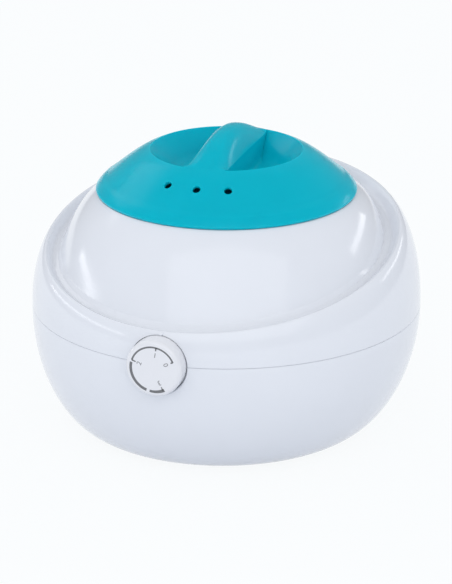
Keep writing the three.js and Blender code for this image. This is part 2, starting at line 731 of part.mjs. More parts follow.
// The bowl that is sunk into the lid's crown, grown by a wall where it is wanted
function recessBowl(growth) {
  const floor = seatLevel + recess.floorRise - growth;
  const top = seatLevel + lid.height + overrun;
  const slant = (recessRadius - recessFloorRadius) / (recess.mouthRise - recess.floorRise);
  const steep = (top - floor) * slant;
  return turned([
    [0, floor], [recessFloorRadius - recess.corner + growth / 2, floor],
    [recessFloorRadius + growth / 2, floor + recess.corner / 4],
    [recessFloorRadius + recess.corner / 2 + growth, floor + recess.corner],
    [recessFloorRadius + steep + growth, top], [0, top],
  ], innerFacets);
}

// The grip bar along Y: upright sides, then an arch up to the crown's own line
function bar(shrink) {
  const side = recess.barHalfWidth - shrink;
  const edge = seatLevel + recess.barRise;
  const crown = lidProfile.slice(0, crownPoints).map(([reach, level]) => [reach, level - edge + fit / 2]);
  const half = [...crown, [recessRadius + overrun, fit / 2]];
  const stations = [...half.slice(1).reverse().map(([reach, rise]) => [-reach, rise]), ...half];
  return loft(stations.map(([y, rise]) => [
    ...shares(barFacets).map((share) => {
      const across = share * 2 - 1;
      return [side * across, y, edge - shrink + rise * (1 - Math.abs(across) ** recess.barPower)];
    }),
    [side, y, seatLevel - overrun], [-side, y, seatLevel - overrun],
  ]));
}

function lidShell() {
  const outerDome = solid(turned([[0, lidLevel], ...[...lidProfile].reverse()], innerFacets));
  const innerProfile = insetProfile(lidProfile, lid.wall).slice(0, -1);
  const rimInner = lidProfile[lidProfile.length - 1][0] - lid.wall;
  const innerDome = solid(turned([
    [0, lidLevel - overrun], [rimInner, lidLevel - overrun], [rimInner, lidLevel],
    ...innerProfile.filter(([, height]) => height > lidLevel + lid.wall).reverse(),
  ], innerFacets));
  const hollow = solid(recessBowl(0)).subtract(solid(bar(0)));
  const hollowWalled = solid(recessBowl(lid.wall)).subtract(solid(bar(lid.wall)));
  const shell = outerDome.subtract(hollow).subtract(innerDome.subtract(hollowWalled));
  return without(shell, ...vent.degrees.map((degrees) => {
    const bottom = around(ventCircle - vent.lean, degrees - 90);
    const top = around(ventCircle + vent.lean, degrees - 90);
    return rod(vent.radius, [...bottom, seatLevel + lid.wall], [...top, seatLevel + lid.height]);
  }));
}

// The knob and its shaft point along +Z here and are turned to face -Y
function knobBody() {
  const { radius, height, fillet, face, wall: skirt, hub } = knob;
  const turns = shares(cornerSteps).map((share) => (share * Math.PI) / 2);
  const outer = turned([
    [0, 0], [radius, 0],
    ...turns.map((turn) => [
      radius - fillet + fillet * Math.cos(turn), height - fillet + fillet * Math.sin(turn),
    ]),
    [0, height],
  ], knobFacets);
  const cavity = collar(hub, radius - skirt, -overrun, height - face, knobFacets);
  return without(solid(outer), cavity).subtract(shaftBody(fit));
}

// A round shaft with a flat at its outer end, grown by a clearance for its bore
function shaftBody(growth) {
  const inner = knobBackY - controlFrontY - shaft.depth + fit;
  const top = knob.height - knob.face + growth;
  const flatTop = top + overrun;
  const flatBottom = top - shaft.flatLength;
  const stem = disc(shaft.radius + growth, inner, top);
  const side = shaft.radius - shaft.flat + growth;
  return without(solid(stem), box(
    overrun, overrun, flatTop - flatBottom, 0, side + overrun / 2, (flatTop + flatBottom) / 2,
  ));
}

function thermostatBody() {
  const { width, depth, height } = control;
  const body = box(width, depth, height, 0, controlFrontY + depth / 2, partingHeight);
  const shaftHole = rod(
    shaft.radius + fit, [0, controlFrontY - overrun, partingHeight],
    [0, controlFrontY + shaft.depth, partingHeight],
  );
  const holes = [-controlScrew.x, controlScrew.x].map((x) => rod(
    controlScrew.radius + fit, [x, controlFrontY - overrun, partingHeight],
    [x, controlFrontY + controlScrew.length, partingHeight],
  ));
  return without(solid(body), shaftHole, ...holes);
}

function thermostatBracket() {
  const { width, thickness, below, above, foot: reach } = bracket;
  const plateY = bracketFrontY + thickness / 2;
  const upright = box(width, thickness, below + above, 0, plateY, partingHeight + (above - below) / 2);
  const ledgeY = bracketFrontY + reach / 2;
  const ledge = box(width, reach, thickness, 0, ledgeY, bracketFootLevel + thickness / 2);
  const holes = [-controlScrew.x, 0, controlScrew.x].map((x) => rod(
    x === 0 ? passageRadius : controlScrew.radius + fit,
    [x, bracketFrontY - overrun, partingHeight], [x, controlFrontY, partingHeight],
  ));
  return without(
    joined(upright, ledge), ...holes,
    ...bracketPlaces.map(([x, y]) => disc(
      bracketScrew.radius + fit, bracketFootLevel - overrun, bracketFootLevel + thickness + fit, x, y,
    )),
  );
}

function thermostatScrews() {
  const { radius, head, headDepth, length } = controlScrew;
  const underHead = bracketFrontY - fit;
  return [-controlScrew.x, controlScrew.x].map((x) => joined(
    rod(radius, [x, underHead, partingHeight], [x, controlFrontY + length - fit, partingHeight]),
    rod(head, [x, underHead - headDepth, partingHeight], [x, underHead, partingHeight]),
  ));
}

function cordGland() {
  const { bore, body, flange, flangeDepth, stub } = gland;
  const face = casingRadius + fit;
  const end = casingRadius + gland.reach;
  const inside = casingRadius - gland.padDepth - glandNut.depth - fit * 2;
  return turned([
    [bore, inside], [body, inside], [body, face], [flange, face], [flange, face + flangeDepth],
    [body + fit, face + flangeDepth], [stub, end], [bore, end], [bore, inside],
  ]).rotateX(-Math.PI / 2).translate(0, 0, glandLevel);
}

function glandLockNut() {
  const outer = casingRadius - gland.padDepth - fit;
  const inner = outer - glandNut.depth;
  const nut = rod(glandNut.radius, [0, inner, glandLevel], [0, outer, glandLevel], nutSides);
  return without(solid(nut), rod(
    gland.body + fit, [0, inner - overrun, glandLevel], [0, outer + overrun, glandLevel],
  ));
}

const clampPlaces = [-1, 1].flatMap((row) => clampScrew.columns.map((column) => (
  [column * clampScrew.spacing, blockY + row * clampScrew.rowOffset]
)));

function terminalBlock() {
  const { width, depth, height } = block;
  const top = blockLevel + height;
  return without(
    solid(box(width, depth, height, 0, blockY, blockLevel + height / 2)),
    ...clampPlaces.map(([x, at]) => disc(
      clampScrew.radius + fit, top - clampScrew.depth, top + overrun, x, at,
    )),
    ...blockPlaces.map(([x, at]) => disc(
      blockScrew.radius + fit, blockLevel - overrun, top + overrun, x, at,
    )),
  );
}

function clampScrews() {
  const bottom = blockLevel + block.height - clampScrew.depth + fit;
  return clampPlaces.map(([x, y]) => disc(clampScrew.radius, bottom, bottom + clampScrew.length, x, y));
}

// Leads inside the casing, each a route of points chosen by hand
const blockFront = blockY - block.depth / 2 - leadRadius / 4;
const leadLevel = blockLevel + block.leadRise;
const controlBack = controlFrontY + control.depth + fit;
const portLevel = partingHeight - port.drop;
const tabEnd = bandLevel - bandTab.drop;
const earthLevel = wellFloorLevel - 3.7;
const [frontHole, backHole, leftHole] = shield.leadHoleDegrees.map((degrees) => (
  around(shield.leadHoleCircle, degrees)
));
const routes = {
  live_lead: [
    [-6.5, blockFront, leadLevel], [-7, 50, 14], [-24, 20, 10], [-30, -30, 10], [-24, -64, 16],
    [-11, -81, 36], [-port.x, controlBack + 5.4, portLevel - 12],
    [-port.x, controlBack + 4.6, portLevel - 3], [-port.x, controlBack + 2.8, portLevel],
    [-port.x, controlBack, portLevel],
  ],
  switched_lead: [
    [port.x, controlBack, portLevel], [port.x, controlBack + 2.8, portLevel],
    [port.x, controlBack + 4.6, portLevel - 3], [port.x, controlBack + 5.4, portLevel - 12],
    [14, -80, 42], [30, -54, 36],
    [...frontHole, shieldLevel - 10], [...frontHole, shieldLevel + 1],
    [26, fuse.y + 0.5, fuseLevel - 0.4], [14, fuse.y, fuseLevel],
    [6.3, fuse.y, fuseLevel],
  ],
  fuse_lead: [
    [-6.3, fuse.y, fuseLevel], [-14, fuse.y, fuseLevel], [-26, fuse.y + 0.5, fuseLevel - 0.4],
    [...leftHole, shieldLevel + 1], [...leftHole, shieldLevel - 10], [-20, -44, 26],
    [10, -50, 22], [40, -50, 26],
    [60, -52, 44], [64, -52, shieldLevel + 4], [64, -54, tabEnd - 10], [56, -56, tabEnd - 5],
    [46, -55, tabEnd - 3.5], [42.3, -53.9, tabEnd - 2], [41.9, -53.6, tabEnd - 0.4],
  ],
  neutral_lead: [
    [0, blockFront, leadLevel], [2, 50, 12], [20, 10, 10], [48, -26, 14], [68, -40, 34],
    [71, -43, shieldLevel + 2], [71, -43, tabEnd - 10], [64, -42, tabEnd - 4.5],
    [56, -42, tabEnd - 3.5], [53.8, -42, tabEnd - 2], [53.6, -41.9, tabEnd - 0.4],
  ],
  earth_lead: [
    [6.5, blockFront, leadLevel], [8, 52, 16], [20, 38, 22],
    [...backHole, shieldLevel - 16], [...backHole, shieldLevel - 1],
    [36, 18, earthLevel - 0.4], [36, 5, earthLevel], [32.5, 0, earthLevel], [29.4, 0, earthLevel],
  ],
};

function capillaryTube() {
  const turn = radians(bulb.degrees);
  const [x, y] = [bulbOut * Math.cos(turn), bulbOut * Math.sin(turn)];
  const [alongX, alongY] = [-Math.sin(turn), Math.cos(turn)];
  const from = (distance) => [x + alongX * distance, y + alongY * distance, bulbLevel];
  const end = bulb.length / 2 + fit;
  const start = from(end + bulb.radius);
  const entry = [-control.width / 2 - fit, controlFrontY + capillary.entry, bulbLevel + capillary.rise];
  const between = capillaryShares.map((way) => (
    way.map((share, axis) => mix(start[axis], entry[axis], share))
  ));
  return wire([from(end), start, ...between, entry], capillary.radius, capillary.steps);
}

// Materials
const finishes = {
  white: { color: 0xe6e8ee, roughness: 0.28, metalness: 0 },
  cyan: { color: 0x00b4ce, roughness: 0.2, metalness: 0 },
  aluminium: { color: 0xc9ccd0, roughness: 0.38, metalness: 1 },
  steel: { color: 0xa6a9ad, roughness: 0.35, metalness: 1 },
  copper: { color: 0xb87b4f, roughness: 0.35, metalness: 1 },
  mica: { color: 0x9c8f73, roughness: 0.5, metalness: 0.2 },
  wool: { color: 0xe9e4d4, roughness: 0.95, metalness: 0 },
  rubber: { color: 0x3b3d40, roughness: 0.8, metalness: 0 },
  silicone: { color: 0xb9432f, roughness: 0.6, metalness: 0 },
  blackPlastic: { color: 0x24262a, roughness: 0.45, metalness: 0 },
  brown: { color: 0x7a4a2b, roughness: 0.5, metalness: 0 },
  blue: { color: 0x2f62b5, roughness: 0.5, metalness: 0 },
  green: { color: 0x5fa135, roughness: 0.5, metalness: 0 },
};

const warmer = new THREE.Group();

function place(name, shape, finish, parent = warmer) {
  const geometry = shape.isBufferGeometry ? shape : geometryOf(shape);
  const mesh = new THREE.Mesh(geometry, new THREE.MeshStandardMaterial(finishes[finish]));
  mesh.name = name;
  parent.add(mesh);
}

// Copies of one piece, numbered from 1
function placeEach(name, shapes, finish) {
  shapes.forEach((shape, index) => place(`${name}_${index + 1}`, shape, finish));
}

// Casing
place('upper_housing', upperHousing(), 'white');
place('lower_housing', lowerHousing(), 'white');
placeEach('rubber_foot', rubberFeet(), 'rubber');
const postSeat = postTop - housingPost.roof - fit;
placeEach('housing_screw', screws(housingScrew, housingPlaces, postSeat, 1), 'steel');
place('cord_gland', cordGland(), 'blackPlastic');
place('gland_nut', glandLockNut(), 'blackPlastic');

// Heated well
place('well_gasket', gasketRing(), 'silicone');
place('heating_well', heatingWell(), 'aluminium');
placeEach('well_screw', wellScrews(), 'steel');
place('heater_band', heaterBand(), 'mica');
place('band_clamp_screw', bandClampScrew(), 'steel');
place('band_clamp_nut', bandClampNut(), 'steel');
place('insulation_wrap', insulationWrap(), 'wool');
place('heat_shield', heatShield(), 'aluminium');
const shieldTop = shieldLevel + shield.thickness + fit;
placeEach('shield_screw', screws(shieldScrew, shieldPlaces, shieldTop, -1), 'steel');
place('sensing_bulb', sensingBulb(), 'copper');
place('bulb_clip', bulbClipStrap(), 'steel');
place('thermal_fuse', thermalFuse(), 'steel');
place('fuse_clip', fuseClipStrap(), 'steel');
place('earth_screw', screws(
  earthScrew, [[earthScrew.x, earthScrew.y]], wellFloorLevel - earthScrew.length + fit, 1,
)[0], 'steel');

// Thermostat and wiring
place('thermostat_body', thermostatBody(), 'blackPlastic');
place('thermostat_bracket', thermostatBracket(), 'steel');
placeEach('thermostat_screw', thermostatScrews(), 'steel');
const ledgeTop = bracketFootLevel + bracket.thickness + fit;
placeEach('bracket_screw', screws(bracketScrew, bracketPlaces, ledgeTop, -1), 'steel');
place('capillary_tube', capillaryTube(), 'copper');
place('terminal_block', terminalBlock(), 'blackPlastic');
const blockTop = blockLevel + block.height + fit;
placeEach('terminal_block_screw', screws(blockScrew, blockPlaces, blockTop, -1), 'steel');
placeEach('terminal_clamp_screw', clampScrews(), 'steel');
const leadFinishes = {
  live_lead: 'brown', switched_lead: 'brown', fuse_lead: 'brown', neutral_lead: 'blue', earth_lead: 'green',
};
Object.entries(routes).forEach(([name, points]) => {
  place(name, wire(points, leadRadius, points.length * leadStepsPerPoint), leadFinishes[name]);
});

// Knob on its shaft
const knobGroup = new THREE.Group();
knobGroup.position.set(0, knobBackY, partingHeight);
knobGroup.rotation.x = Math.PI / 2;
warmer.add(knobGroup);
place('control_knob', knobBody(), 'white', knobGroup);
place('thermostat_shaft', shaftBody(0), 'steel', knobGroup);

// Pot, bail and lid
place('wax_pot', waxPot(), 'aluminium');
place('pot_bail', potBail(), 'steel');
place('lid', lidShell().rotate([0, 0, lid.turnDegrees]), 'cyan');

export default warmer;
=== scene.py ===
"""Dresses the wax warmer's CAD frame in fine casing halves, a lid, a knob, a pot and their fittings."""

import json
import math

import bmesh
import bpy
from mathutils import Matrix, Vector


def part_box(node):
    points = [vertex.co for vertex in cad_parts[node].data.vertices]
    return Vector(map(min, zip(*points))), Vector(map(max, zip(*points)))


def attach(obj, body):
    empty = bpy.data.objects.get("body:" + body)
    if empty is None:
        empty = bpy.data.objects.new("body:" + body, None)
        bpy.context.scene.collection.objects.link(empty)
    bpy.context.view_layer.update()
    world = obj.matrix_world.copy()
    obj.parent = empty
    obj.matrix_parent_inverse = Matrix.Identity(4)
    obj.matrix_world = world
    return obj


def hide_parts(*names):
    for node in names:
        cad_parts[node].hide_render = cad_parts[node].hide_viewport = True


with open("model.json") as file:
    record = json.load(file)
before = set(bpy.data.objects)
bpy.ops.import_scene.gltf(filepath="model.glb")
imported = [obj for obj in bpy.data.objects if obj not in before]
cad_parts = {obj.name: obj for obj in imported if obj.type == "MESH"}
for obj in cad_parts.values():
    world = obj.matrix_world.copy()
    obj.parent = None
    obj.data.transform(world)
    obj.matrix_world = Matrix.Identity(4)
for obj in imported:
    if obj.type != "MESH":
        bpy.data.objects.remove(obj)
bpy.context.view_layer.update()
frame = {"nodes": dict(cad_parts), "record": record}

bl_info = {
    "name": "Wax warmer",
    "version": (1, 0, 0),
    "blender": (4, 5, 0),
    "location": "3D View > Sidebar > Warmer",
    "description": "Builds the fine pieces of a wax warmer over its CAD frame",
    "category": "Object",
}

MM = 0.001
FIT = 0.0003  # between pieces that rest on each other
SEAM = 0.00006  # from the parting line to the edge of each casing half
REACH = 0.03  # of a cutter past what it cuts
SKIN = 0.0003  # of a casing half's outside that the knob's backing stays under


# Colours and small sums


def linear(hex_colour):
    """An sRGB hex colour as linear red, green, blue and alpha."""
    channels = [int(hex_colour[at:at + 2], 16) / 255 for at in (0, 2, 4)]
    return [c / 12.92 if c <= 0.04045 else ((c + 0.055) / 1.055) ** 2.4 for c in channels] + [1.0]


def mix(start, end, share):
    return start + (end - start) * share


def mixed(start, end, share):
    """Two rows of numbers mixed by a share."""
    return tuple(mix(a, b, share) for a, b in zip(start, end))


def steps(count):
    return [step / count for step in range(count + 1)]


def quarter(count):
    """The angles of a quarter turn in even steps."""
    return [share * math.pi / 2 for share in steps(count)]


def eased(share):
    return share * share * (3 - 2 * share)


def scaled(points):
    """Points in millimetres as points in metres."""
    return [tuple(value * MM for value in point) for point in points]


def edge_turn(x, z, across, up, turns, first=math.sin, second=math.cos):
    """A rounded edge in place of the corner at (x, z), with its reach across and up from there."""
    return [(x + across * (1 - first(turn)), z + up * (1 - second(turn))) for turn in turns]


def around(circle, degrees):
    return circle * math.cos(math.radians(degrees)), circle * math.sin(math.radians(degrees))


def on_circle(circle, degrees, level=0.0, shift=0.0):
    """Places on a circle round the axis that is shifted along Y."""
    spots = [around(circle, each) for each in degrees]
    return [(x, y + shift, level) for x, y in spots]


def direction(azimuth, elevation):
    """The unit vector towards an azimuth, from the front to the right, and an elevation."""
    level = math.cos(elevation)
    return Vector((math.sin(azimuth) * level, -math.cos(azimuth) * level, math.sin(elevation)))


def smooth_line(points, per_span):
    """A Catmull-Rom line through points, as points."""
    ends = [points[0], *points, points[-1]]
    line = []
    for a, b, c, d in zip(ends, ends[1:], ends[2:], ends[3:]):
        for share in steps(per_span)[:-1]:
            s2, s3 = share ** 2, share ** 3
            line.append(tuple(
                0.5 * (2 * q + (r - p) * share
                       + (2 * p - 5 * q + 4 * r - t) * s2 + (3 * q - p - 3 * r + t) * s3)
                for p, q, r, t in zip(a, b, c, d)
            ))
    return [*line, tuple(points[-1])]


def rounded(rows, radii, count=4):
    """A path of rows whose corners are rounded by the given lengths along their sides."""
    path = [rows[0]]
    for before, corner, after, radius in zip(rows, rows[1:], rows[2:], radii):
        if not radius:
            path.append(corner)
            continue
        start, end = (
            mixed(corner, side, min(radius / math.dist(side, corner), 0.5)) for side in (before, after))
        for share in steps(count):
            path.append(mixed(mixed(start, corner, share), mixed(corner, end, share), share))
    return [*path, rows[-1]]


# Settings


def length_of(name, description, default, least=0.0):
    return bpy.props.FloatProperty(
        name=name, description=description, default=default, min=least, unit="LENGTH")


def angle_of(name, description, degrees):
    return bpy.props.FloatProperty(
        name=name, description=description, default=math.radians(degrees), subtype="ANGLE")


def number_of(name, description, default, least=0.0):
    return bpy.props.FloatProperty(name=name, description=description, default=default, min=least)


def colour_of(name, description, hex_colour):
    return bpy.props.FloatVectorProperty(
        name=name, description=description, default=linear(hex_colour)[:3],
        size=3, subtype="COLOR", min=0, max=1)


class CasingSettings(bpy.types.PropertyGroup):
    """Sizes and colour of the two casing halves"""

    radius: length_of("Radius", "Radius at the parting line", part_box("lower_housing")[1].x, 0.05)
    parting_height: length_of("Parting height", "Height of the parting line above the table", 0.077, 0.03)
    base_inset: length_of("Base inset", "How far the base ring draws in from the parting line", 0.0354)
    rim_rise: length_of("Rim rise", "Height of the rim's crest above the parting line", 0.0462, 0.01)
    wall: length_of("Wall", "Wall thickness of both halves", 0.0025, 0.001)
    edge: length_of("Seam edge", "Rounding of the two edges at the parting line", 0.0002, 0.0001)
    colour: colour_of("Colour", "Colour of the white casing", "dfe3ea")


class LidSettings(bpy.types.PropertyGroup):
    """Sizes and colour of the lid"""

    crown: length_of("Crown", "Height of the top of the lid above the table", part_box("lid")[1].z, 0.1)
    curve: length_of("Crown curve", "Radius of the crown's curve", 0.086, 0.04)
    mouth: length_of("Recess radius", "Radius of the finger recess at its mouth", 0.0469, 0.02)
    bar: length_of("Bar half width", "Half the width of the grip bar", 0.013, 0.004)
    bar_edge: length_of("Bar edge", "Height at which the bar's sides turn into its arch", 0.1747, 0.1)
    bar_power: number_of("Bar power", "Power of the arch across the bar, flatter when higher", 2.5, 1.5)
    turn: angle_of("Turn", "How far the loose lid is turned on its seat", 2.4)
    edge: length_of("Edge", "Rounding of the recess edge", 0.0006, 0.0001)
    vent_radius: length_of("Vent radius", "Radius of one vent hole", 0.0024, 0.0005)
    colour: colour_of("Colour", "Colour of the lid", "00b1c6")


class KnobSettings(bpy.types.PropertyGroup):
    """Sizes and colours of the thermostat knob"""

    radius: length_of("Radius", "Radius of the knob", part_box("control_knob")[1].x, 0.005)
    fillet: length_of("Fillet", "Rounding of the knob's front edge", 0.0028, 0.0005)
    scale_radius: length_of("Scale radius", "Radius of the printed scale", 0.0139, 0.005)
    numeral_height: length_of("Numeral height", "Height of the scale's numerals", 0.003, 0.001)
    colour: colour_of("Colour", "Colour of the knob", "e1e3e8")
    ink: colour_of("Ink", "Colour of the printed scale", "6f7174")


class PotSettings(bpy.types.PropertyGroup):
    """Sizes of the wax pot, its bail and the well"""

    wall: length_of("Wall", "Wall thickness of the pot", 0.0012, 0.0005)
    corner: length_of("Corner", "Rounding of the pot's and the well's bottom", 0.008, 0.002)
    bail_wire: length_of("Bail wire", "Radius of the bail's wire", 0.0013, 0.0005)
    segments: bpy.props.IntProperty(
        name="Segments", description="Facets round the pot and the well", default=128, min=24)


class StageSettings(bpy.types.PropertyGroup):
    """Camera, floor and lamps"""

    azimuth: angle_of("Azimuth", "Turn of the camera to the right of the front", 19.5)
    elevation: angle_of("Elevation", "Height of the camera over the horizon", 20)
    distance: length_of("Distance", "Distance of the camera from its aim", 1.708)
    lens: number_of("Lens", "Focal length on a 36 mm sensor, in millimetres", 167.2)
    sky: number_of("Sky", "Strength of the even studio light", 0.9)
    lamps: number_of("Lamps", "Factor on every lamp's power", 1.0)


SETTINGS = {
    "warmer_casing": CasingSettings,
    "warmer_lid": LidSettings,
    "warmer_knob": KnobSettings,
    "warmer_pot": PotSettings,
    "warmer_stage": StageSettings,
}


# Nodes


def add(tree, kind, settings=None, inputs=None):
    """Adds one node with its settings and the values or links of its inputs."""
    made = tree.nodes.new(kind)
    for name, value in (settings or {}).items():
        setattr(made, name, value)
    for socket, value in (inputs or {}).items():
        target = made.inputs[socket]
        if isinstance(value, bpy.types.NodeSocket):
            tree.links.new(value, target)
        else:
            target.default_value = value
    return made


def new_tree(name, sockets):
    """A Geometry Nodes tree with a geometry input and output and the named inputs."""
    tree = bpy.data.node_groups.new(name, "GeometryNodeTree")
    tree.interface.new_socket("Geometry", in_out="OUTPUT", socket_type="NodeSocketGeometry")
    for label, kind in {"Geometry": "Geometry", **sockets, "Material": "Material"}.items():
        tree.interface.new_socket(label, in_out="INPUT", socket_type="NodeSocket" + kind)
    return tree, tree.nodes.new("NodeGroupInput").outputs


def close_tree(tree, geometry, material):
    """Ends a tree in Realize Instances and Set Material."""
    real = add(tree, "GeometryNodeRealizeInstances", inputs={0: geometry})
    dressed = add(tree, "GeometryNodeSetMaterial", inputs={0: real.outputs[0], "Material": material})
    add(tree, "NodeGroupOutput", inputs={0: dressed.outputs[0]})


def ring_tree():
    """Lays rows of (radius, angle, level) out as circles that shift to the front and rise to the back."""
    tree, given = new_tree("Tilted rings", {"Shift": "Float", "Tilt": "Float"})
    place = add(tree, "GeometryNodeInputPosition").outputs[0]
    radius, angle, rise = add(tree, "ShaderNodeSeparateXYZ", inputs={0: place}).outputs
    shift, slope = (
        add(tree, "GeometryNodeInputNamedAttribute", {"data_type": "FLOAT"}, {"Name": name}).outputs[0]
        for name in ("shift", "slope"))
    centre = add(tree, "ShaderNodeMath", {"operation": "MULTIPLY"}, {
        0: shift, 1: given["Shift"]}).outputs[0]
    tilt = add(tree, "ShaderNodeMath", {"operation": "MULTIPLY"}, {0: slope, 1: given["Tilt"]}).outputs[0]
    cosine = add(tree, "ShaderNodeMath", {"operation": "COSINE"}, {0: angle}).outputs[0]
    sine = add(tree, "ShaderNodeMath", {"operation": "SINE"}, {0: angle}).outputs[0]
    across = add(tree, "ShaderNodeMath", {"operation": "MULTIPLY"}, {0: radius, 1: cosine}).outputs[0]
    along = add(tree, "ShaderNodeMath", {"operation": "MULTIPLY_ADD"}, {
        0: radius, 1: sine, 2: centre}).outputs[0]
    level = add(tree, "ShaderNodeMath", {"operation": "MULTIPLY_ADD"}, {
        0: along, 1: tilt, 2: rise}).outputs[0]
    place = add(tree, "ShaderNodeCombineXYZ", inputs={0: across, 1: along, 2: level}).outputs[0]
    laid = add(tree, "GeometryNodeSetPosition", inputs={"Geometry": given["Geometry"], "Position": place})
    welded = add(tree, "GeometryNodeMergeByDistance", inputs={0: laid.outputs[0], "Distance": 1e-7})
    close_tree(tree, welded.outputs[0], given["Material"])
    return tree


def copies_tree():
    """Puts one copy of a piece on each point, turned to face away from the Z axis."""
    tree, given = new_tree("Copies", {"Piece": "Object", "Scale": "Float"})
    piece = add(tree, "GeometryNodeObjectInfo", inputs={"Object": given["Piece"]}).outputs["Geometry"]
    place = add(tree, "GeometryNodeInputPosition").outputs[0]
    x, y, _ = add(tree, "ShaderNodeSeparateXYZ", inputs={0: place}).outputs
    turn = add(tree, "ShaderNodeMath", {"operation": "ARCTAN2"}, {0: y, 1: x}).outputs[0]
    outwards = add(tree, "ShaderNodeCombineXYZ", inputs={2: turn}).outputs[0]
    made = add(tree, "GeometryNodeInstanceOnPoints", inputs={
        "Points": given["Geometry"], "Instance": piece, "Rotation": outwards, "Scale": given["Scale"]})
    close_tree(tree, made.outputs[0], given["Material"])
    return tree


def wire_tree():
    """Sweeps a round section along a line of points."""
    tree, given = new_tree("Wire", {"Radius": "Float", "Sides": "Int"})
    line = add(tree, "GeometryNodeMeshToCurve", inputs={0: given["Geometry"]}).outputs[0]
    section = add(tree, "GeometryNodeCurvePrimitiveCircle", inputs={
        "Resolution": given["Sides"], "Radius": given["Radius"]}).outputs[0]
    swept = add(tree, "GeometryNodeCurveToMesh", inputs={
        "Curve": line, "Profile Curve": section, "Fill Caps": True}).outputs[0]
    close_tree(tree, swept, given["Material"])
    return tree


TREES = {}


# Meshes


def held(content):
    """A passing object that holds a mesh or a curve."""
    holder = bpy.data.objects.new("holder", content)
    bpy.context.scene.collection.objects.link(holder)
    return holder


def evaluated(holder):
    """The plain mesh that an object's modifiers make. The object is removed."""
    seen = holder.evaluated_get(bpy.context.evaluated_depsgraph_get())
    mesh = bpy.data.meshes.new_from_object(seen)
    bpy.data.objects.remove(holder)
    return mesh


def by_nodes(mesh, tree, inputs):
    """A mesh put through a Geometry Nodes tree."""
    holder = held(mesh)
    step = holder.modifiers.new(tree.name, "NODES")
    step.node_group = tree
    for item in tree.interface.items_tree:
        if item.in_out == "INPUT" and item.name in inputs:
            step[item.identifier] = inputs[item.name]
    return evaluated(holder)


def carved(mesh, *work):
    """A mesh joined with or cut by others, each given as (operation, mesh)."""
    holder = held(mesh)
    tools = []
    for operation, tool in work:
        tools.append(held(tool))
        cut = holder.modifiers.new(operation, "BOOLEAN")
        cut.solver = "MANIFOLD"
        cut.operation = operation
        cut.object = tools[-1]
    made = evaluated(holder)
    for tool in tools:
        bpy.data.objects.remove(tool)
    return made


def cuts(*tools):
    return [("DIFFERENCE", tool) for tool in tools]


def unions(*tools):
    return [("UNION", tool) for tool in tools]


def bevelled(mesh, width):
    """A mesh with its edges of more than 40 degrees rounded."""
    holder = held(mesh)
    bevel = holder.modifiers.new("edges", "BEVEL")
    bevel.width = width
    bevel.segments = 2
    bevel.limit_method = "ANGLE"
    bevel.angle_limit = math.radians(40)
    return evaluated(holder)


def mesh_of(points, faces, edges=()):
    mesh = bpy.data.meshes.new("draft")
    mesh.from_pydata(points, edges, faces)
    return mesh


def mesh_from(body):
    """The mesh of a bmesh, which is freed."""
    mesh = bpy.data.meshes.new("draft")
    body.to_mesh(mesh)
    body.free()
    return mesh


def outward(mesh):
    """A closed mesh with its doubles merged and its faces outwards."""
    body = bmesh.new()
    body.from_mesh(mesh)
    bmesh.ops.remove_doubles(body, verts=body.verts, dist=1e-7)
    bmesh.ops.recalc_face_normals(body, faces=body.faces)
    return mesh_from(body)


def angles_round(count):
    return [turn * math.tau / count - math.pi / 2 for turn in range(count)]


def ring_body(rows, angles, material=None, looped=True):
    """A body through rings of (radius, shift, level, slope). A looped one closes on its first row."""
    columns = len(angles)
    points = [(radius, angle, level) for radius, _, level, _ in rows for angle in angles]
    faces = []
    for row in range(len(rows) if looped else len(rows) - 1):
        here, after = row * columns, (row + 1) % len(rows) * columns
        for column in range(columns):
            beside = (column + 1) % columns
            faces.append((here + column, here + beside, after + beside, after + column))
    mesh = mesh_of(points, faces)
    for name, at in (("shift", 1), ("slope", 3)):
        values = mesh.attributes.new(name, "FLOAT", "POINT")
        values.data.foreach_set("value", [row[at] for row in rows for _ in angles])
    laid = by_nodes(mesh, TREES["rings"], {"Shift": 1.0, "Tilt": 1.0, "Material": material})
    for name in ("shift", "slope"):
        laid.attributes.remove(laid.attributes[name])
    return outward(laid)


def turned(profile, segments, material=None, looped=False):
    """A body of revolution about Z through (radius, height) points."""
    rows = [(radius, 0.0, height, 0.0) for radius, height in profile]
    return ring_body(rows, angles_round(segments), material, looped)


def cylinder(radius, bottom, top, x=0.0, y=0.0, segments=48):
    body = turned([(0, bottom), (radius, bottom), (radius, top), (0, top)], segments)
    body.transform(Matrix.Translation((x, y, 0)))
    return body


def cylinders(radius, bottom, top, places):
    """Upright cylinders on places, with their radius and ends in millimetres."""
    return [cylinder(radius * MM, bottom * MM, top * MM, x, y) for x, y, _ in places]


def block(width, depth, height, x, y, z):
    body = bmesh.new()
    stand = Matrix.Translation((x, y, z)) @ Matrix.Diagonal((width, depth, height, 1))
    bmesh.ops.create_cube(body, size=1.0, matrix=stand)
    return mesh_from(body)


def lying(mesh, y, z, side=1):
    """Lays a mesh made along Z towards -Y, or towards Y for side -1, its foot at y and its axis at z."""
    mesh.transform(Matrix.Translation((0, y, z)) @ Matrix.Rotation(side * math.pi / 2, 4, "X"))
    return mesh


def joined(*meshes):
    """Several meshes as one, without a boolean."""
    body = bmesh.new()
    for mesh in meshes:
        body.from_mesh(mesh)
    return mesh_from(body)


def copies(piece, places, material):
    """Copies of a piece on places, as one mesh."""
    template = held(piece)
    inputs = {"Piece": template, "Scale": 1.0, "Material": material}
    mesh = by_nodes(mesh_of(places, []), TREES["copies"], inputs)
    bpy.data.objects.remove(template)
    return mesh


def wire(points, radius, material, sides):
    edges = [(at, at + 1) for at in range(len(points) - 1)]
    line = mesh_of(points, [], edges)
    inputs = {"Radius": radius, "Sides": sides, "Material": material}
    return outward(by_nodes(line, TREES["wire"], inputs))


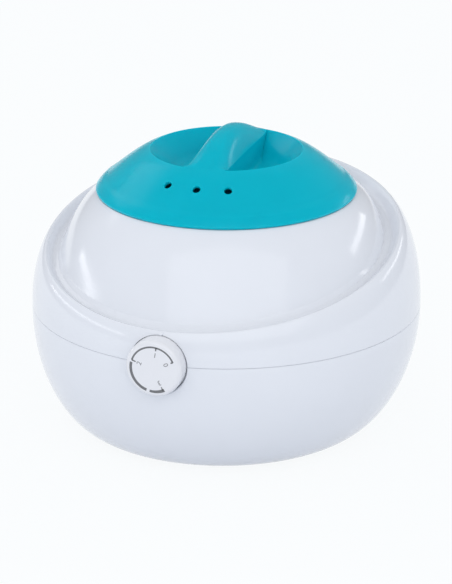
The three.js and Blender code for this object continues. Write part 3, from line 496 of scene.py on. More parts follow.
def finish_piece(name, mesh, material, body, replaced=(), degrees=32):
    """Makes a piece of a finished mesh and ties it to the frame."""
    piece = bpy.data.objects.new(name, mesh)
    mesh.name = name
    mesh.materials.clear()
    mesh.materials.append(material)
    mesh.polygons.foreach_set("material_index", [0] * len(mesh.polygons))
    mesh.shade_smooth()
    mesh.set_sharp_from_angle(angle=math.radians(degrees))
    bpy.context.scene.collection.objects.link(piece)
    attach(piece, body)
    if replaced:
        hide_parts(*replaced)


def numbered(name):
    """The names of four equal nodes."""
    return [f"{name}_{number}" for number in range(1, 5)]


# Finishes


def base_material(name, colour, roughness, ior=1.5, metallic=0.0):
    """A material with its tree, its shader and Object coordinates."""
    material = bpy.data.materials.new(name)
    material.use_nodes = True
    material.diffuse_color = [*colour[:3], 1.0]
    tree = material.node_tree
    shader = tree.nodes["Principled BSDF"]
    shader.inputs["Base Color"].default_value = [*colour[:3], 1.0]
    shader.inputs["Metallic"].default_value = metallic
    shader.inputs["Roughness"].default_value = roughness
    if not metallic:
        shader.inputs["IOR"].default_value = ior
    return material, tree, shader, tree.nodes.new("ShaderNodeTexCoord").outputs["Object"]


def shaded(colour, factor):
    """A colour made darker or lighter by a factor."""
    return [min(1.0, channel * factor) for channel in colour[:3]] + [1.0]


def vary(tree, shader, at, size, colour, shades, roughness=None, bump=0.0, detail=3.0):
    """Noise of a real size in metres that varies the colour, the roughness and the surface."""
    noise = add(tree, "ShaderNodeTexNoise", inputs={
        "Vector": at, "Scale": 1 / size, "Detail": detail}).outputs[0]
    dark, light = (shaded(colour, factor) for factor in shades)
    ramp = add(tree, "ShaderNodeMix", {"data_type": "RGBA"}, {0: noise, 6: dark, 7: light})
    tree.links.new(ramp.outputs[2], shader.inputs["Base Color"])
    if roughness:
        spread = add(tree, "ShaderNodeMapRange", inputs={
            "Value": noise, "To Min": roughness[0], "To Max": roughness[1]})
        tree.links.new(spread.outputs[0], shader.inputs["Roughness"])
    if bump:
        lift = add(tree, "ShaderNodeBump", inputs={"Height": noise, "Distance": bump, "Strength": 0.6})
        tree.links.new(lift.outputs[0], shader.inputs["Normal"])


def glossy_abs(name, colour):
    """Polished ABS moulding: glossy, with a faint waviness of the moulded skin some 25 mm long."""
    material, tree, shader, at = base_material(name, colour, 0.2, 1.53)
    vary(tree, shader, at, 0.025, colour, (0.985, 1.01), (0.1, 0.16), 0.00004, 1.0)
    return material


def tinted_polypropylene(name, colour):
    """Dyed polypropylene with a polished face: strong colour, a soft sheen and a slightly wavy skin."""
    material, tree, shader, at = base_material(name, colour, 0.16, 1.49)
    shader.inputs["Specular IOR Level"].default_value = 0.15
    shader.inputs["Subsurface Weight"].default_value = 0.6
    shader.inputs["Subsurface Radius"].default_value = (0.3, 1.0, 1.0)
    shader.inputs["Subsurface Scale"].default_value = 0.006
    vary(tree, shader, at, 0.018, colour, (0.97, 1.02), (0.17, 0.24), 0.00005, 1.0)
    return material


def pad_print(name, colour):
    """Pad-printed ink: thin, matt and slightly uneven over 0.8 mm."""
    material, tree, shader, at = base_material(name, colour, 0.55)
    vary(tree, shader, at, 0.0008, colour, (0.9, 1.12), (0.5, 0.62))
    return material


def spun_aluminium(name, colour):
    """Spun aluminium sheet: turning marks 0.6 mm apart round the axis, on bare metal."""
    material, tree, shader, at = base_material(name, colour, 0.32, metallic=1.0)
    waves_per_unit = 20  # that a wave texture draws at scale 1
    rings = add(tree, "ShaderNodeTexWave", {"wave_type": "RINGS", "rings_direction": "Z"}, {
        "Vector": at, "Scale": 1 / 0.0006 / waves_per_unit,
        "Distortion": 0.6, "Detail": 2.0, "Detail Scale": 1.5}).outputs[1]
    vary(tree, shader, at, 0.012, colour, (0.93, 1.03))
    spread = add(tree, "ShaderNodeMapRange", inputs={"Value": rings, "To Min": 0.26, "To Max": 0.4})
    tree.links.new(spread.outputs[0], shader.inputs["Roughness"])
    lift = add(tree, "ShaderNodeBump", inputs={"Height": rings, "Distance": 0.00002, "Strength": 0.5})
    tree.links.new(lift.outputs[0], shader.inputs["Normal"])
    return material


def zinc_plated_steel(name, colour):
    """Zinc-plated steel: bright, with a cloudy passivated film 3 mm across."""
    material, tree, shader, at = base_material(name, colour, 0.3, metallic=1.0)
    vary(tree, shader, at, 0.003, colour, (0.88, 1.04), (0.24, 0.4), 0.00001)
    return material


def drawn_copper(name, colour):
    """Drawn copper tube: soft metal with handling stains 4 mm across."""
    material, tree, shader, at = base_material(name, colour, 0.34, metallic=1.0)
    vary(tree, shader, at, 0.004, colour, (0.8, 1.05), (0.28, 0.46), 0.00001)
    return material


def mica_band(name, colour):
    """Mica sheet in a metal strap: layered flakes 2 mm across with a dull shine."""
    material, tree, shader, at = base_material(name, colour, 0.5)
    flakes = add(tree, "ShaderNodeTexVoronoi", inputs={"Vector": at, "Scale": 1 / 0.002})
    ramp = add(tree, "ShaderNodeMix", {"data_type": "RGBA"}, {
        0: flakes.outputs["Distance"], 6: shaded(colour, 1.15), 7: shaded(colour, 0.75)})
    tree.links.new(ramp.outputs[2], shader.inputs["Base Color"])
    return material


def needled_glass_wool(name, colour):
    """Needled glass wool: matt felt of fibres, with tufts 1.5 mm across."""
    material, tree, shader, at = base_material(name, colour, 0.95)
    vary(tree, shader, at, 0.0015, colour, (0.85, 1.05), bump=0.0006, detail=6.0)
    return material


def moulded_rubber(name, colour):
    """Moulded rubber: matt, with dust in a grain of 0.7 mm."""
    material, tree, shader, at = base_material(name, colour, 0.82)
    vary(tree, shader, at, 0.0007, colour, (0.85, 1.2), (0.74, 0.9), 0.00004)
    return material


def filled_nylon(name, colour):
    """Glass-filled nylon: dark, half matt, with a flow grain of 0.8 mm."""
    material, tree, shader, at = base_material(name, colour, 0.5, 1.53)
    vary(tree, shader, at, 0.0008, colour, (0.88, 1.15), (0.44, 0.58), 0.00002)
    return material


def wire_insulation(name, colour):
    """Extruded silicone insulation: soft sheen, uneven over 1.2 mm."""
    material, tree, shader, at = base_material(name, colour, 0.45, 1.43)
    vary(tree, shader, at, 0.0012, colour, (0.92, 1.06), (0.4, 0.52), 0.00002)
    return material


# The record's slots, and the finish that each piece and each CAD node of that slot gets. A colour is
# written here or kept in the settings.
FINISHES = {
    "white_plastic": (glossy_abs, "Polished white ABS", "warmer_casing"),
    "knob_plastic": (glossy_abs, "Polished knob ABS", "warmer_knob"),
    "lid_plastic": (tinted_polypropylene, "Dyed polypropylene", "warmer_lid"),
    "aluminium": (spun_aluminium, "Spun aluminium", "d3d5d8"),
    "shield_aluminium": (spun_aluminium, "Pressed aluminium sheet", "c4c6c9"),
    "steel": (zinc_plated_steel, "Zinc-plated steel", "b9bcbf"),
    "spring_steel": (zinc_plated_steel, "Blued spring steel", "8f9297"),
    "copper": (drawn_copper, "Drawn copper", "c07d52"),
    "mica": (mica_band, "Mica heater", "9c8f73"),
    "glass_wool": (needled_glass_wool, "Needled glass wool", "e9e4d4"),
    "rubber": (moulded_rubber, "Moulded grey rubber", "46484c"),
    "silicone": (moulded_rubber, "Cast silicone", "b9432f"),
    "black_plastic": (filled_nylon, "Black glass-filled nylon", "26282c"),
    "brown_insulation": (wire_insulation, "Brown silicone insulation", "7a4a2b"),
    "blue_insulation": (wire_insulation, "Blue silicone insulation", "2f62b5"),
    "green_insulation": (wire_insulation, "Green silicone insulation", "5fa135"),
}
MATERIALS = {}


def finish_of(slot):
    """The material of a slot, made when it is first asked for."""
    if slot not in MATERIALS:
        maker, name, colour = FINISHES[slot]
        chosen = getattr(bpy.context.scene, colour).colour if colour in SETTINGS else linear(colour)
        MATERIALS[slot] = maker(name, list(chosen))
    return MATERIALS[slot]


# Casing, with sizes in millimetres where the settings don't give them

# Rings of the upper half inside its crest, as (inset, shift, rise, slope)
RIM = (11.7, -7.2, 46.2, 0.225)
GROOVE = (17.6, -8.8, 41.8, 0.208)
DOME_FOOT = (20.9, -10.3, 42.7, 0.207)
DOME_BEAD = (22.6, -9.8, 46.6, 0.225)
SIDE_POWERS = (1.37, 0.96)  # of the upper side's curve, outwards and upwards
BELLY_POWER = 1.25  # of the belly's curve outwards
BASE_SHIFT, BASE_LEVEL = -7.5, 3.0  # of the base ring
SEAT_RADIUS, SEAT_RISE, DOME_BULGE = 80.5, 72.0, 1.6
REBATE_RADIUS, REBATE_DEPTH, OPENING_RADIUS = 77.2, 3.0, 68.5
FOOT_DEGREES, FOOT_CIRCLE = (45, 135, 225, 315), 72
POST_DEGREES, POST_CIRCLE = (60, 120, 240, 300), 84
SHIELD_POST_DEGREES, SHIELD_POST_CIRCLE = (30, 150, 270), 68
GLAND_LEVEL = 58
RECESS_FLOOR, RECESS_GAP, BACKING, PASSAGE_RADIUS = -118.3, 0.25, 1.3, 4.5  # behind the knob
FLARE_WIDTH, FLARE_DEPTH, FLARE_POWER = 2.2, 4.2, 2.4  # of the recess's mouth
DOT_RADIUS, DOT_ROOT, DOT_HEIGHT = 1.35, -3, 0.55
DOT_PLACE, DOT_FACING = (1, -118.45, 95.55), (0, -0.85, 0.53)


def foot_places():
    return on_circle(FOOT_CIRCLE * MM, FOOT_DEGREES, shift=BASE_SHIFT * MM)


def casing_angles(casing):
    """Columns round the casing, close together near the knob."""
    near = [math.asin(step * 1.2 * MM / casing.radius) for step in range(23)]
    far = 92
    one_side = near + [mix(near[-1], math.pi, step / far) for step in range(1, far)]
    front = -math.pi / 2
    return [front + a for a in one_side] + [front + math.pi] + [front - a for a in reversed(one_side[1:])]


def upper_side(casing, share, depth=0.0):
    """One ring of the upper side, from the parting line to the crest."""
    turn = share * math.pi / 2
    out = math.cos(turn) ** SIDE_POWERS[0] if share < 1 else 0.0
    up = math.sin(turn) ** SIDE_POWERS[1]
    return (
        casing.radius - RIM[0] * MM * (1 - out) - depth * math.cos(turn),
        RIM[1] * MM * (1 - out),
        casing.parting_height + casing.rim_rise * up - depth * math.sin(turn),
        RIM[3] * up,
    )


def dome_ring(casing, share, depth=0.0):
    """One ring of the dome, from its bead to the land under the lid."""
    foot = casing.radius - DOME_BEAD[0] * MM
    bulge = DOME_BULGE * MM * math.sin(share * math.pi)
    return (
        mix(foot, SEAT_RADIUS * MM, share) + bulge - depth,
        DOME_BEAD[1] * MM * (1 - share),
        casing.parting_height + mix(DOME_BEAD[2], SEAT_RISE, share) * MM + bulge - depth * share,
        DOME_BEAD[3] * (1 - share),
    )


def inner_ring(casing, station, depth=0.0):
    inset, shift, rise, slope = station
    return (casing.radius - inset * MM, shift * MM, casing.parting_height + rise * MM - depth, slope)


def lower_side(casing, share, depth=0.0):
    """One ring of the belly, from the parting line to the base."""
    turn = share * math.pi / 2
    out = math.cos(turn) ** BELLY_POWER if share < 1 else 0.0
    floor = BASE_LEVEL * MM + depth
    return (
        casing.radius - casing.base_inset * (1 - out) - depth,
        BASE_SHIFT * MM * share,
        casing.parting_height - (casing.parting_height - floor) * math.sin(turn),
        0.0,
    )


def seam_edge(casing, side):
    """The rounded edge of a casing half at the parting line, from the seam outwards."""
    return [(
        casing.radius - casing.edge * (1 - math.sin(turn)), 0.0,
        casing.parting_height + side * (SEAM + casing.edge * (1 - math.cos(turn))), 0.0,
    ) for turn in quarter(4)]


def recess_work(casing, knob, half, rows):
    """The work on one half (1 upper, -1 lower) for the recess behind the knob, in a body of rings."""
    radius, level, floor = knob.radius + RECESS_GAP * MM, casing.parting_height, RECESS_FLOOR * MM
    depth, land = FLARE_DEPTH * MM, radius + 9 * MM
    flare = [(radius + FLARE_WIDTH * MM * share ** FLARE_POWER, depth * share) for share in steps(14)]
    dish = turned([(0, 0), *flare, (land, depth + 0.4 * MM), (land, REACH), (0, REACH)], 144)
    passage = cylinder(PASSAGE_RADIUS * MM, -REACH, REACH, segments=64)
    backing = cylinder(radius + BACKING * MM, -3 * MM, BACKING * MM, segments=144)
    for body in (dish, passage, backing):
        lying(body, floor, level)
    keep = block(80 * MM, 40 * MM, 40 * MM, 0, floor, level + half * (20 * MM + SEAM))
    inside = ring_body(rows, angles_round(240), looped=False)
    return [*unions(carved(backing, ("INTERSECT", keep), ("INTERSECT", inside))), *cuts(dish, passage)]


class WARMER_OT_upper_casing(bpy.types.Operator):
    """Moulds the upper casing half with its rim, groove, dome and index dot"""

    bl_idname = "warmer.upper_casing"
    bl_label = "Upper casing"

    def execute(self, context):
        casing, knob = context.scene.warmer_casing, context.scene.warmer_knob
        parting, wall = casing.parting_height, casing.wall
        after_edge = 0.015  # share of the side that the seam's edge takes
        side = [upper_side(casing, share) for share in steps(44) if share > after_edge]
        crest, groove = upper_side(casing, 1), inner_ring(casing, GROOVE)
        fall = [
            (*mixed(crest[:2], groove[:2], share), *mixed(crest[2:], groove[2:], eased(share)))
            for share in steps(12)[1:-1]
        ]
        dome = [dome_ring(casing, share) for share in steps(26)]
        foot = rounded([groove, inner_ring(casing, DOME_FOOT), dome[0], dome[1]], [0.5 * MM, 1.5 * MM], 6)
        seat = SEAT_RISE * MM + parting
        ledge = seat - REBATE_DEPTH * MM
        land = rounded([
            dome[-2], (SEAT_RADIUS * MM, 0, seat, 0), (REBATE_RADIUS * MM, 0, seat, 0),
            (REBATE_RADIUS * MM, 0, ledge, 0), (OPENING_RADIUS * MM, 0, ledge, 0),
            (OPENING_RADIUS * MM, 0, ledge - wall, 0),
        ], [0.5 * MM, 0.3 * MM, 0.2 * MM, 0.3 * MM])
        inside = [
            (SEAT_RADIUS * MM - wall, 0, ledge - wall, 0),
            *[dome_ring(casing, 1 - share, wall) for share in steps(8)[2:]],
            inner_ring(casing, DOME_FOOT, wall), inner_ring(casing, GROOVE, wall),
            *[upper_side(casing, 1 - share, wall) for share in steps(12)[:-1]],
            (casing.radius - wall, 0, parting + SEAM, 0),
        ]
        rows = [*seam_edge(casing, 1), *side, *fall, *foot[:-1], *dome[1:-2], *land, *inside]
        material = finish_of("white_plastic")
        shell = ring_body(rows, casing_angles(casing), material)

        outline = scaled([
            (0, DOT_ROOT), (DOT_RADIUS, DOT_ROOT), (DOT_RADIUS, DOT_HEIGHT), (0, DOT_HEIGHT)])
        dot = turned(rounded(outline, [0, 0.35 * MM], 5), 40)
        lean = Vector(DOT_FACING).to_track_quat("Z", "Y").to_matrix().to_4x4()
        dot.transform(Matrix.Translation(scaled([DOT_PLACE])[0]) @ lean)
        skin = [upper_side(casing, share, SKIN) for share in steps(24)]
        skin = [(0, 0, parting, 0), *skin, (0, *skin[-1][1:])]
        shell = carved(shell, *recess_work(casing, knob, 1, skin), *unions(dot))
        finish_piece(
            "upper_casing_shell", shell, material, "casing", ["upper_housing"], 28)
        return {"FINISHED"}


class WARMER_OT_lower_casing(bpy.types.Operator):
    """Moulds the lower casing half with its belly, base ring, posts and tongue"""

    bl_idname = "warmer.lower_casing"
    bl_label = "Lower casing"

    def execute(self, context):
        casing, knob = context.scene.warmer_casing, context.scene.warmer_knob
        parting, wall = casing.parting_height, casing.wall
        top, level, shift = parting - SEAM, BASE_LEVEL * MM, BASE_SHIFT * MM
        after_edge = 0.012  # share of the belly that the seam's edge takes
        belly = [lower_side(casing, share) for share in steps(60) if after_edge < share]
        half_base = (casing.radius - casing.base_inset) * 0.5
        bottom = rounded([belly[-2], belly[-1], (half_base, shift, level, 0)], [1.2 * MM])
        rows = [
            (0, shift, level, 0),
            *reversed([*reversed(seam_edge(casing, -1)), *belly[:-2], *bottom[:-1]]),
            (casing.radius - wall, 0, top, 0),
            *[lower_side(casing, share, wall) for share in steps(16)[1:]],
            (0, shift, level + wall, 0),
        ]
        material = finish_of("white_plastic")
        shell = ring_body(rows, casing_angles(casing), material, looped=False)

        tongue = casing.radius - wall - 2 * FIT
        lip = turned([
            (tongue - 1.6 * MM, parting - 8 * MM), (tongue - 0.1 * MM, parting - 8 * MM),
            (tongue + 0.7 * MM, parting - 6.5 * MM), (tongue + 0.7 * MM, top - 0.3 * MM), (tongue, top),
            (tongue, parting + 2.6 * MM), (tongue - 0.4 * MM, parting + 3 * MM),
            (tongue - 1.6 * MM, parting + 3 * MM),
        ], 240, looped=True)
        gap = block(46 * MM, 40 * MM, 20 * MM, 0, -casing.radius, top + 10 * MM)
        lip = carved(lip, *cuts(gap))
        post_places = on_circle(POST_CIRCLE * MM, POST_DEGREES)
        shield_places = on_circle(SHIELD_POST_CIRCLE * MM, SHIELD_POST_DEGREES)
        posts = cylinders(6.5, 4.2, 58, post_places) + cylinders(4.5, 4.2, 57.7, shield_places)
        below = -REACH / MM
        bores = cylinders(4.7, below, 52, post_places) + cylinders(2.2, 40, 60, post_places)
        seats = cylinders(8.3, below, 4, foot_places())
        pad = lying(cylinder(10.5 * MM, 112 * MM, 121.6 * MM), 0, GLAND_LEVEL * MM, -1)
        hole = lying(cylinder(6.5 * MM, 60 * MM, 160 * MM), 0, GLAND_LEVEL * MM, -1)
        skin = [lower_side(casing, share, SKIN) for share in steps(24)]
        skin = [(0, *skin[-1][1:]), *reversed(skin), (0, 0, parting, 0)]
        shell = carved(
            shell, *unions(lip, pad, *posts), *cuts(*bores, *seats, hole),
            *recess_work(casing, knob, -1, skin))
        finish_piece(
            "lower_casing_shell", shell, material, "casing", ["lower_housing"], 28)
        return {"FINISHED"}


# Lid, with sizes in millimetres where the settings don't give them

LID_WALL = 2.2
LID_OUTLINE = [  # (radius, height) from the shoulder of the dome to the lower edge
    (52, 173.75), (56, 171.5), (61, 168.1), (66, 164.3), (70.5, 160.6), (73.6, 158.0), (75.2, 156.9),
    (77, 155.6), (79, 153.6), (80.4, 151.9), (81.05, 150.9), (80.9, 150.1), (80.4, 149.3),
]
FLOOR_LEVEL, FLOOR_RADIUS, FLOOR_CORNER = 161, 36, 4  # of the finger recesses
BAR_DRAFT = 0.6  # of the bar's sides down to the turn into the floor
RUN_OUT = 5  # of the arch into the dome at both ends of the bar
VENT_CIRCLE, VENT_LEVEL, VENT_LEAN, VENT_DEGREES = 61.5, 167.75, 37, (-18, 0, 18)
ACROSS, ALONG, SWEEP = 28, 60, 80  # facets across the bar, along it and round one recess


class LidSurface:
    """The lid's outer surface, or its underside at a depth. Both share one layout of points and faces."""

    def __init__(self, lid, depth):
        self.lid, self.depth = lid, depth
        self.points, self.faces = [], []
        self.bar = lid.bar - depth
        self.edge = 0.2 * MM if depth else lid.edge
        self.mouth = lid.mouth + depth * 0.6
        self.rim = self.mouth + self.edge
        self.lower_edge = self.lay_rings()
        self.lay_bar()
        for side in (1, -1):
            self.lay_recess(side)

    def lay(self, row):
        start = len(self.points)
        self.points.extend(row)
        return list(range(start, start + len(row)))

    def bridge(self, first, second, looped=True):
        count = len(first)
        for at in range(count if looped else count - 1):
            after = (at + 1) % count
            self.faces.append((first[at], first[after], second[after], second[at]))

    def dome(self, x, y):
        square, curve = x * x + y * y, self.lid.curve
        return self.lid.crown - square / (2 * curve) - self.depth * math.sqrt(1 + square / curve ** 2)

    def arch(self, x, y):
        """The bar's top: an arch over its level edges, which runs out into the dome at both ends."""
        foot = self.lid.bar_edge - self.depth
        height = foot + (self.dome(0, y) - foot) * (1 - abs(x / self.bar) ** self.lid.bar_power)
        from_end = (math.sqrt(self.rim ** 2 - x * x) - abs(y)) / (RUN_OUT * MM)
        return mix(self.dome(x, y), height, eased(min(1.0, max(0.0, from_end))))

    def across_bar(self):
        return [-math.cos(math.pi * share) * self.bar for share in steps(ACROSS)]

    def outline(self):
        """The lid's section from the mouth of the recess to the lower edge."""
        lid, depth = self.lid, self.depth
        start = lid.mouth + lid.edge
        line = smooth_line(
            [(start, lid.crown - start ** 2 / (2 * lid.curve)), *scaled(LID_OUTLINE)], 5)
        if not depth:
            return line
        inset = []
        for at, (r, z) in enumerate(line):
            (r0, z0), (r1, z1) = line[max(at - 1, 0)], line[min(at + 1, len(line) - 1)]
            length = math.hypot(r1 - r0, z1 - z0)
            inset.append((r + depth * (z1 - z0) / length, z - depth * (r1 - r0) / length))
        inset[-1] = (inset[-1][0], line[-1][1])
        return [(self.rim, self.dome(self.rim, 0))] + [row for row in inset if row[0] > self.rim + 1 * MM]

    def lay_rings(self):
        """The rings outside the recess. Returns the last one."""
        half = math.asin(self.bar / self.rim)
        front = [-math.pi / 2 + math.asin(x / self.rim) for x in self.across_bar()]
        right = [mix(-math.pi / 2 + half, math.pi / 2 - half, share) for share in steps(SWEEP)[1:-1]]
        columns = [*front, *right, *[angle + math.pi for angle in front + right]]
        rings = [
            self.lay([(r * math.cos(angle), r * math.sin(angle), z) for angle in columns])
            for r, z in self.outline()
        ]
        for first, second in zip(rings, rings[1:]):
            self.bridge(first, second)
        return rings[-1]

    def lay_bar(self):
        """The top of the bar."""
        strips = []
        for x in self.across_bar():
            reach = math.sqrt(self.rim ** 2 - x * x)
            line = [mix(-reach, reach, share) for share in steps(ALONG)]
            strips.append(self.lay([(x, y, self.arch(x, y)) for y in line]))
        for first, second in zip(strips, strips[1:]):
            self.bridge(first, second, False)

    def recess_line(self, radius, chord):
        """A D-shaped line: its arc, then its straight side along the bar."""
        half = math.acos(chord / radius)
        turns = [mix(-half, half, share) for share in steps(SWEEP)]
        arc = [(radius * math.cos(turn), radius * math.sin(turn)) for turn in turns]
        end = arc[-1][1]
        return arc + [(chord, mix(end, -end, share)) for share in steps(ALONG)[1:-1]]

    def lay_recess(self, side):
        """One finger recess, right (1) or left (-1) of the bar."""
        bar, edge = self.bar, self.edge
        floor, corner = FLOOR_LEVEL * MM - self.depth, FLOOR_CORNER * MM
        floor_radius = FLOOR_RADIUS * MM + self.depth

        def lay(row):
            return self.lay([(x * side, y * side, z) for x, y, z in row])

        line = self.recess_line(self.rim, bar)
        top = [(self.arch if at > SWEEP else self.dome)(x, y) for at, (x, y) in enumerate(line)]
        loops = [lay([(x, y, z) for (x, y), z in zip(line, top)])]
        for turn in quarter(4)[1:]:
            line = self.recess_line(self.rim - edge * math.sin(turn), bar)
            down = edge * (1 - math.cos(turn))
            loops.append(lay([(x, y, z - down) for (x, y), z in zip(line, top)]))
        upper = [(x, y, z - edge) for (x, y), z in zip(line, top)]
        foot = (floor_radius, bar + BAR_DRAFT * MM, floor + corner)
        lower = [(x, y, foot[2]) for x, y in self.recess_line(*foot[:2])]
        for share in steps(10)[1:]:
            loops.append(lay([mixed(a, b, share) for a, b in zip(upper, lower)]))
        steep = (self.mouth - floor_radius) / (self.dome(self.mouth, 0) - floor - corner)
        knee = (floor_radius - steep * corner, bar + 0.9 * MM, floor)
        end = (knee[0] - 6 * MM, bar + 4 * MM, floor)
        for share in steps(10)[1:]:
            radius, chord, height = mixed(mixed(foot, knee, share), mixed(knee, end, share), share)
            last = self.recess_line(radius, chord)
            loops.append(lay([(x, y, height) for x, y in last]))
        middle = sum(x for x, _ in last) / len(last) + 1 * MM
        for share in (0.3, 0.6, 0.85):
            loops.append(lay([(mix(x, middle, share), mix(y, 0, share), floor) for x, y in last]))
        for first, second in zip(loops, loops[1:]):
            self.bridge(second, first)
        hub = lay([(middle, 0.0, floor)])[0]
        ring = loops[-1]
        for at in range(len(ring)):
            self.faces.append((ring[at], ring[(at + 1) % len(ring)], hub))


class WARMER_OT_lid(bpy.types.Operator):
    """Moulds the lid with its finger recesses, grip bar and vent holes"""

    bl_idname = "warmer.lid"
    bl_label = "Lid"

    def execute(self, context):
        lid = context.scene.warmer_lid
        outer, inner = LidSurface(lid, 0.0), LidSurface(lid, LID_WALL * MM)
        start = len(outer.points)
        faces = outer.faces + [tuple(start + at for at in reversed(face)) for face in inner.faces]
        outside, inside = outer.lower_edge, [start + at for at in inner.lower_edge]
        for at in range(len(outside)):
            after = (at + 1) % len(outside)
            faces.append((outside[at], inside[at], inside[after], outside[after]))
        shell = outward(mesh_of(outer.points + inner.points, faces))
        radius, through = lid.vent_radius, 8 * MM
        cutter = turned([
            (0, -through), (radius, -through), (radius, -0.5 * MM), (radius + 0.12 * MM, -0.2 * MM),
            (radius + 0.45 * MM, 0.06 * MM), (radius + 0.9 * MM, 0.4 * MM), (radius + 0.9 * MM, through),
            (0, through),
        ], 48)
        cutter.transform(Matrix.Rotation(math.radians(VENT_LEAN), 4, "Y"))
        places = on_circle(VENT_CIRCLE * MM, [degrees - 90 for degrees in VENT_DEGREES], VENT_LEVEL * MM)
        material = finish_of("lid_plastic")
        shell = carved(shell, *cuts(copies(cutter, places, material)))
        shell.transform(Matrix.Rotation(lid.turn, 4, "Z"))
        finish_piece("lid_shell", shell, material, "lid", ["lid"], 30)
        return {"FINISHED"}


# Knob

# Bands of the scale, as (start, end, inner width, outer widths at the start and end, facets). Angles
# count clockwise from the top in degrees, and widths from the scale's radius in millimetres.
BANDS = (
    (-71.2, 65.4, 0.55, (0.5, 0.5), 60),
    (-163, -77, 0.85, (0.85, 0.85), 44),
    (-210.4, -171.4, 0.75, (1.3, 0.75), 24),
)
# Ticks of the scale, as (numeral, degrees, inner radius, width) in millimetres
TICKS = (("0", 64.8, 12.4, 0.9), ("1", 9.1, 11.9, 0.9), ("2", -71.4, 11.3, 0.9), ("3", -206.6, 11.7, 0.7))
NUMERAL_RADIUS = 8.9
CAP_SHARE = 0.7  # of the font's size that a numeral's height takes


def strip(inner, outer, back, front):
    """A flat closed strip between two lines of (x, z) points, from y back to y front."""
    count = len(inner)
    points = [(x, y, z) for y in (front, back) for line in (inner, outer) for x, z in line]
    faces = []
    for at in range(count - 1):
        a, b = at, at + 1
        faces.append((a, b, b + count, a + count))
        faces.append((a + 2 * count, a + 3 * count, b + 3 * count, b + 2 * count))
        faces.append((a, a + 2 * count, b + 2 * count, b))
        faces.append((a + count, b + count, b + 3 * count, a + 3 * count))
    for at in (0, count - 1):
        faces.append((at, at + count, at + 3 * count, at + 2 * count))
    return outward(mesh_of(points, faces))


def on_dial(radius, degrees):
    """A point of the knob's face, its angle counted clockwise from the top."""
    turn = math.radians(degrees)
    return radius * MM * math.sin(turn), radius * MM * math.cos(turn)


def numeral(text, height, degrees, front, back):
    """A numeral of the built-in font, its top to the outside of the dial."""
    curve = bpy.data.curves.new("numeral", "FONT")
    curve.body = text
    curve.size = height / CAP_SHARE
    curve.align_x = curve.align_y = "CENTER"
    curve.extrude = (back - front) / 2
    mesh = evaluated(held(curve))
    x, z = on_dial(NUMERAL_RADIUS, degrees)
    stand = Matrix.Translation((x, (front + back) / 2, z))
    turn = Matrix.Rotation(math.radians(degrees), 4, "Y")
    mesh.transform(stand @ turn @ Matrix.Rotation(math.pi / 2, 4, "X"))
    mesh.materials.clear()
    return outward(mesh)


class WARMER_OT_knob(bpy.types.Operator):
    """Turns the thermostat knob and prints its scale"""

    bl_idname = "warmer.knob"
    bl_label = "Knob"

    def execute(self, context):
        casing, knob = context.scene.warmer_casing, context.scene.warmer_knob
        low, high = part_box("control_knob")
        face = low.y + 0.05 * MM
        height = high.y - face
        fillet, radius = knob.fillet, knob.radius
        curve = edge_turn(radius, height, -fillet, -fillet, quarter(10), math.cos, math.sin)
        hub, skirt, bore, edge = 6 * MM, radius - 1.8 * MM, 3.3 * MM, 0.3 * MM
        deep, cavity = height - 1.75 * MM, height - 2 * MM
        profile = [
            (0, deep), (bore, deep), (bore, 0), (hub, 0), (hub, cavity), (skirt, cavity), (skirt, edge),
            (skirt + edge, 0), (radius - edge, 0), (radius, edge), *curve,
            (radius - fillet - 1 * MM, height), (0, height),
        ]
        body = lying(turned(profile, 160), high.y, casing.parting_height)
        material = finish_of("knob_plastic")
        finish_piece("knob_body", body, material, "knob", ["control_knob"], 28)

        front, under = low.y + 0.01 * MM, face + 0.02 * MM
        lift = knob.scale_radius * 1000

        def arc(start, end, inner, outer, count):
            turns = [mix(start, end, share) for share in steps(count)]
            inside = [on_dial(inner, turn) for turn in turns]
            outside = [on_dial(mix(*outer, share), turn) for share, turn in zip(steps(count), turns)]
            return strip(inside, outside, under, front)

        marks = [
            arc(start, end, lift - inner, [lift + width for width in outer], count)
            for start, end, inner, outer, count in BANDS
        ]
        for _, degrees, inner, width in TICKS:
            half = math.degrees(width / 2 / lift)
            marks.append(arc(degrees - half, degrees + half, inner, (lift, lift), 2))
        numerals = [
            numeral(text, knob.numeral_height, degrees, front, under) for text, degrees, _, _ in TICKS]
        scale = joined(*marks, *numerals)
        scale.transform(Matrix.Translation((0, 0, casing.parting_height)))
        finish_piece("knob_scale", scale, pad_print("Pad-printed grey ink", list(knob.ink)), "knob")
        return {"FINISHED"}


# Pot, bail and well, with sizes in millimetres where the settings don't give them

POT_TOP, POT_BOTTOM, POT_FLANGE = 63.2, 60, 149.4
EAR_OUTLINE, EAR_FACE, EAR_THICKNESS = [(-4, 149.8), (-4, 155.6), (4, 155.6), (4, 149.8)], 70.3, 2.4
BAIL_LEVEL, BAIL_HOOP, BAIL_END = 153.2, 73.1, 67.6
WELL_RADIUS, WELL_SHEET = 66, 1.5


def pan_profile(top, bottom, thickness, floor, corner, flange_level, flange_thickness, flange_radius):
    """A round pan's section: outside up to the flange, then the inside down to the middle."""
    turns = quarter(8)
    centre, rise = bottom - corner, floor + corner
    outer, inner = (
        [(centre + radius * math.sin(t), rise - radius * math.cos(t)) for t in turns]
        for radius in (corner, corner - thickness))
    rim, half, throat_radius = flange_level + flange_thickness, flange_thickness / 2, 1.2 * MM
    lip = edge_turn(flange_radius, flange_level, -half, half, turns[::2])
    roll = edge_turn(flange_radius, rim, -half, -half, turns[2::2], math.cos, math.sin)
    throat = edge_turn(top - thickness, rim, throat_radius, -throat_radius, turns[::2])
    return [
        (0, floor), *outer, (top, flange_level), *lip, *roll, *throat, *reversed(inner),
        (0, floor + thickness),
    ]


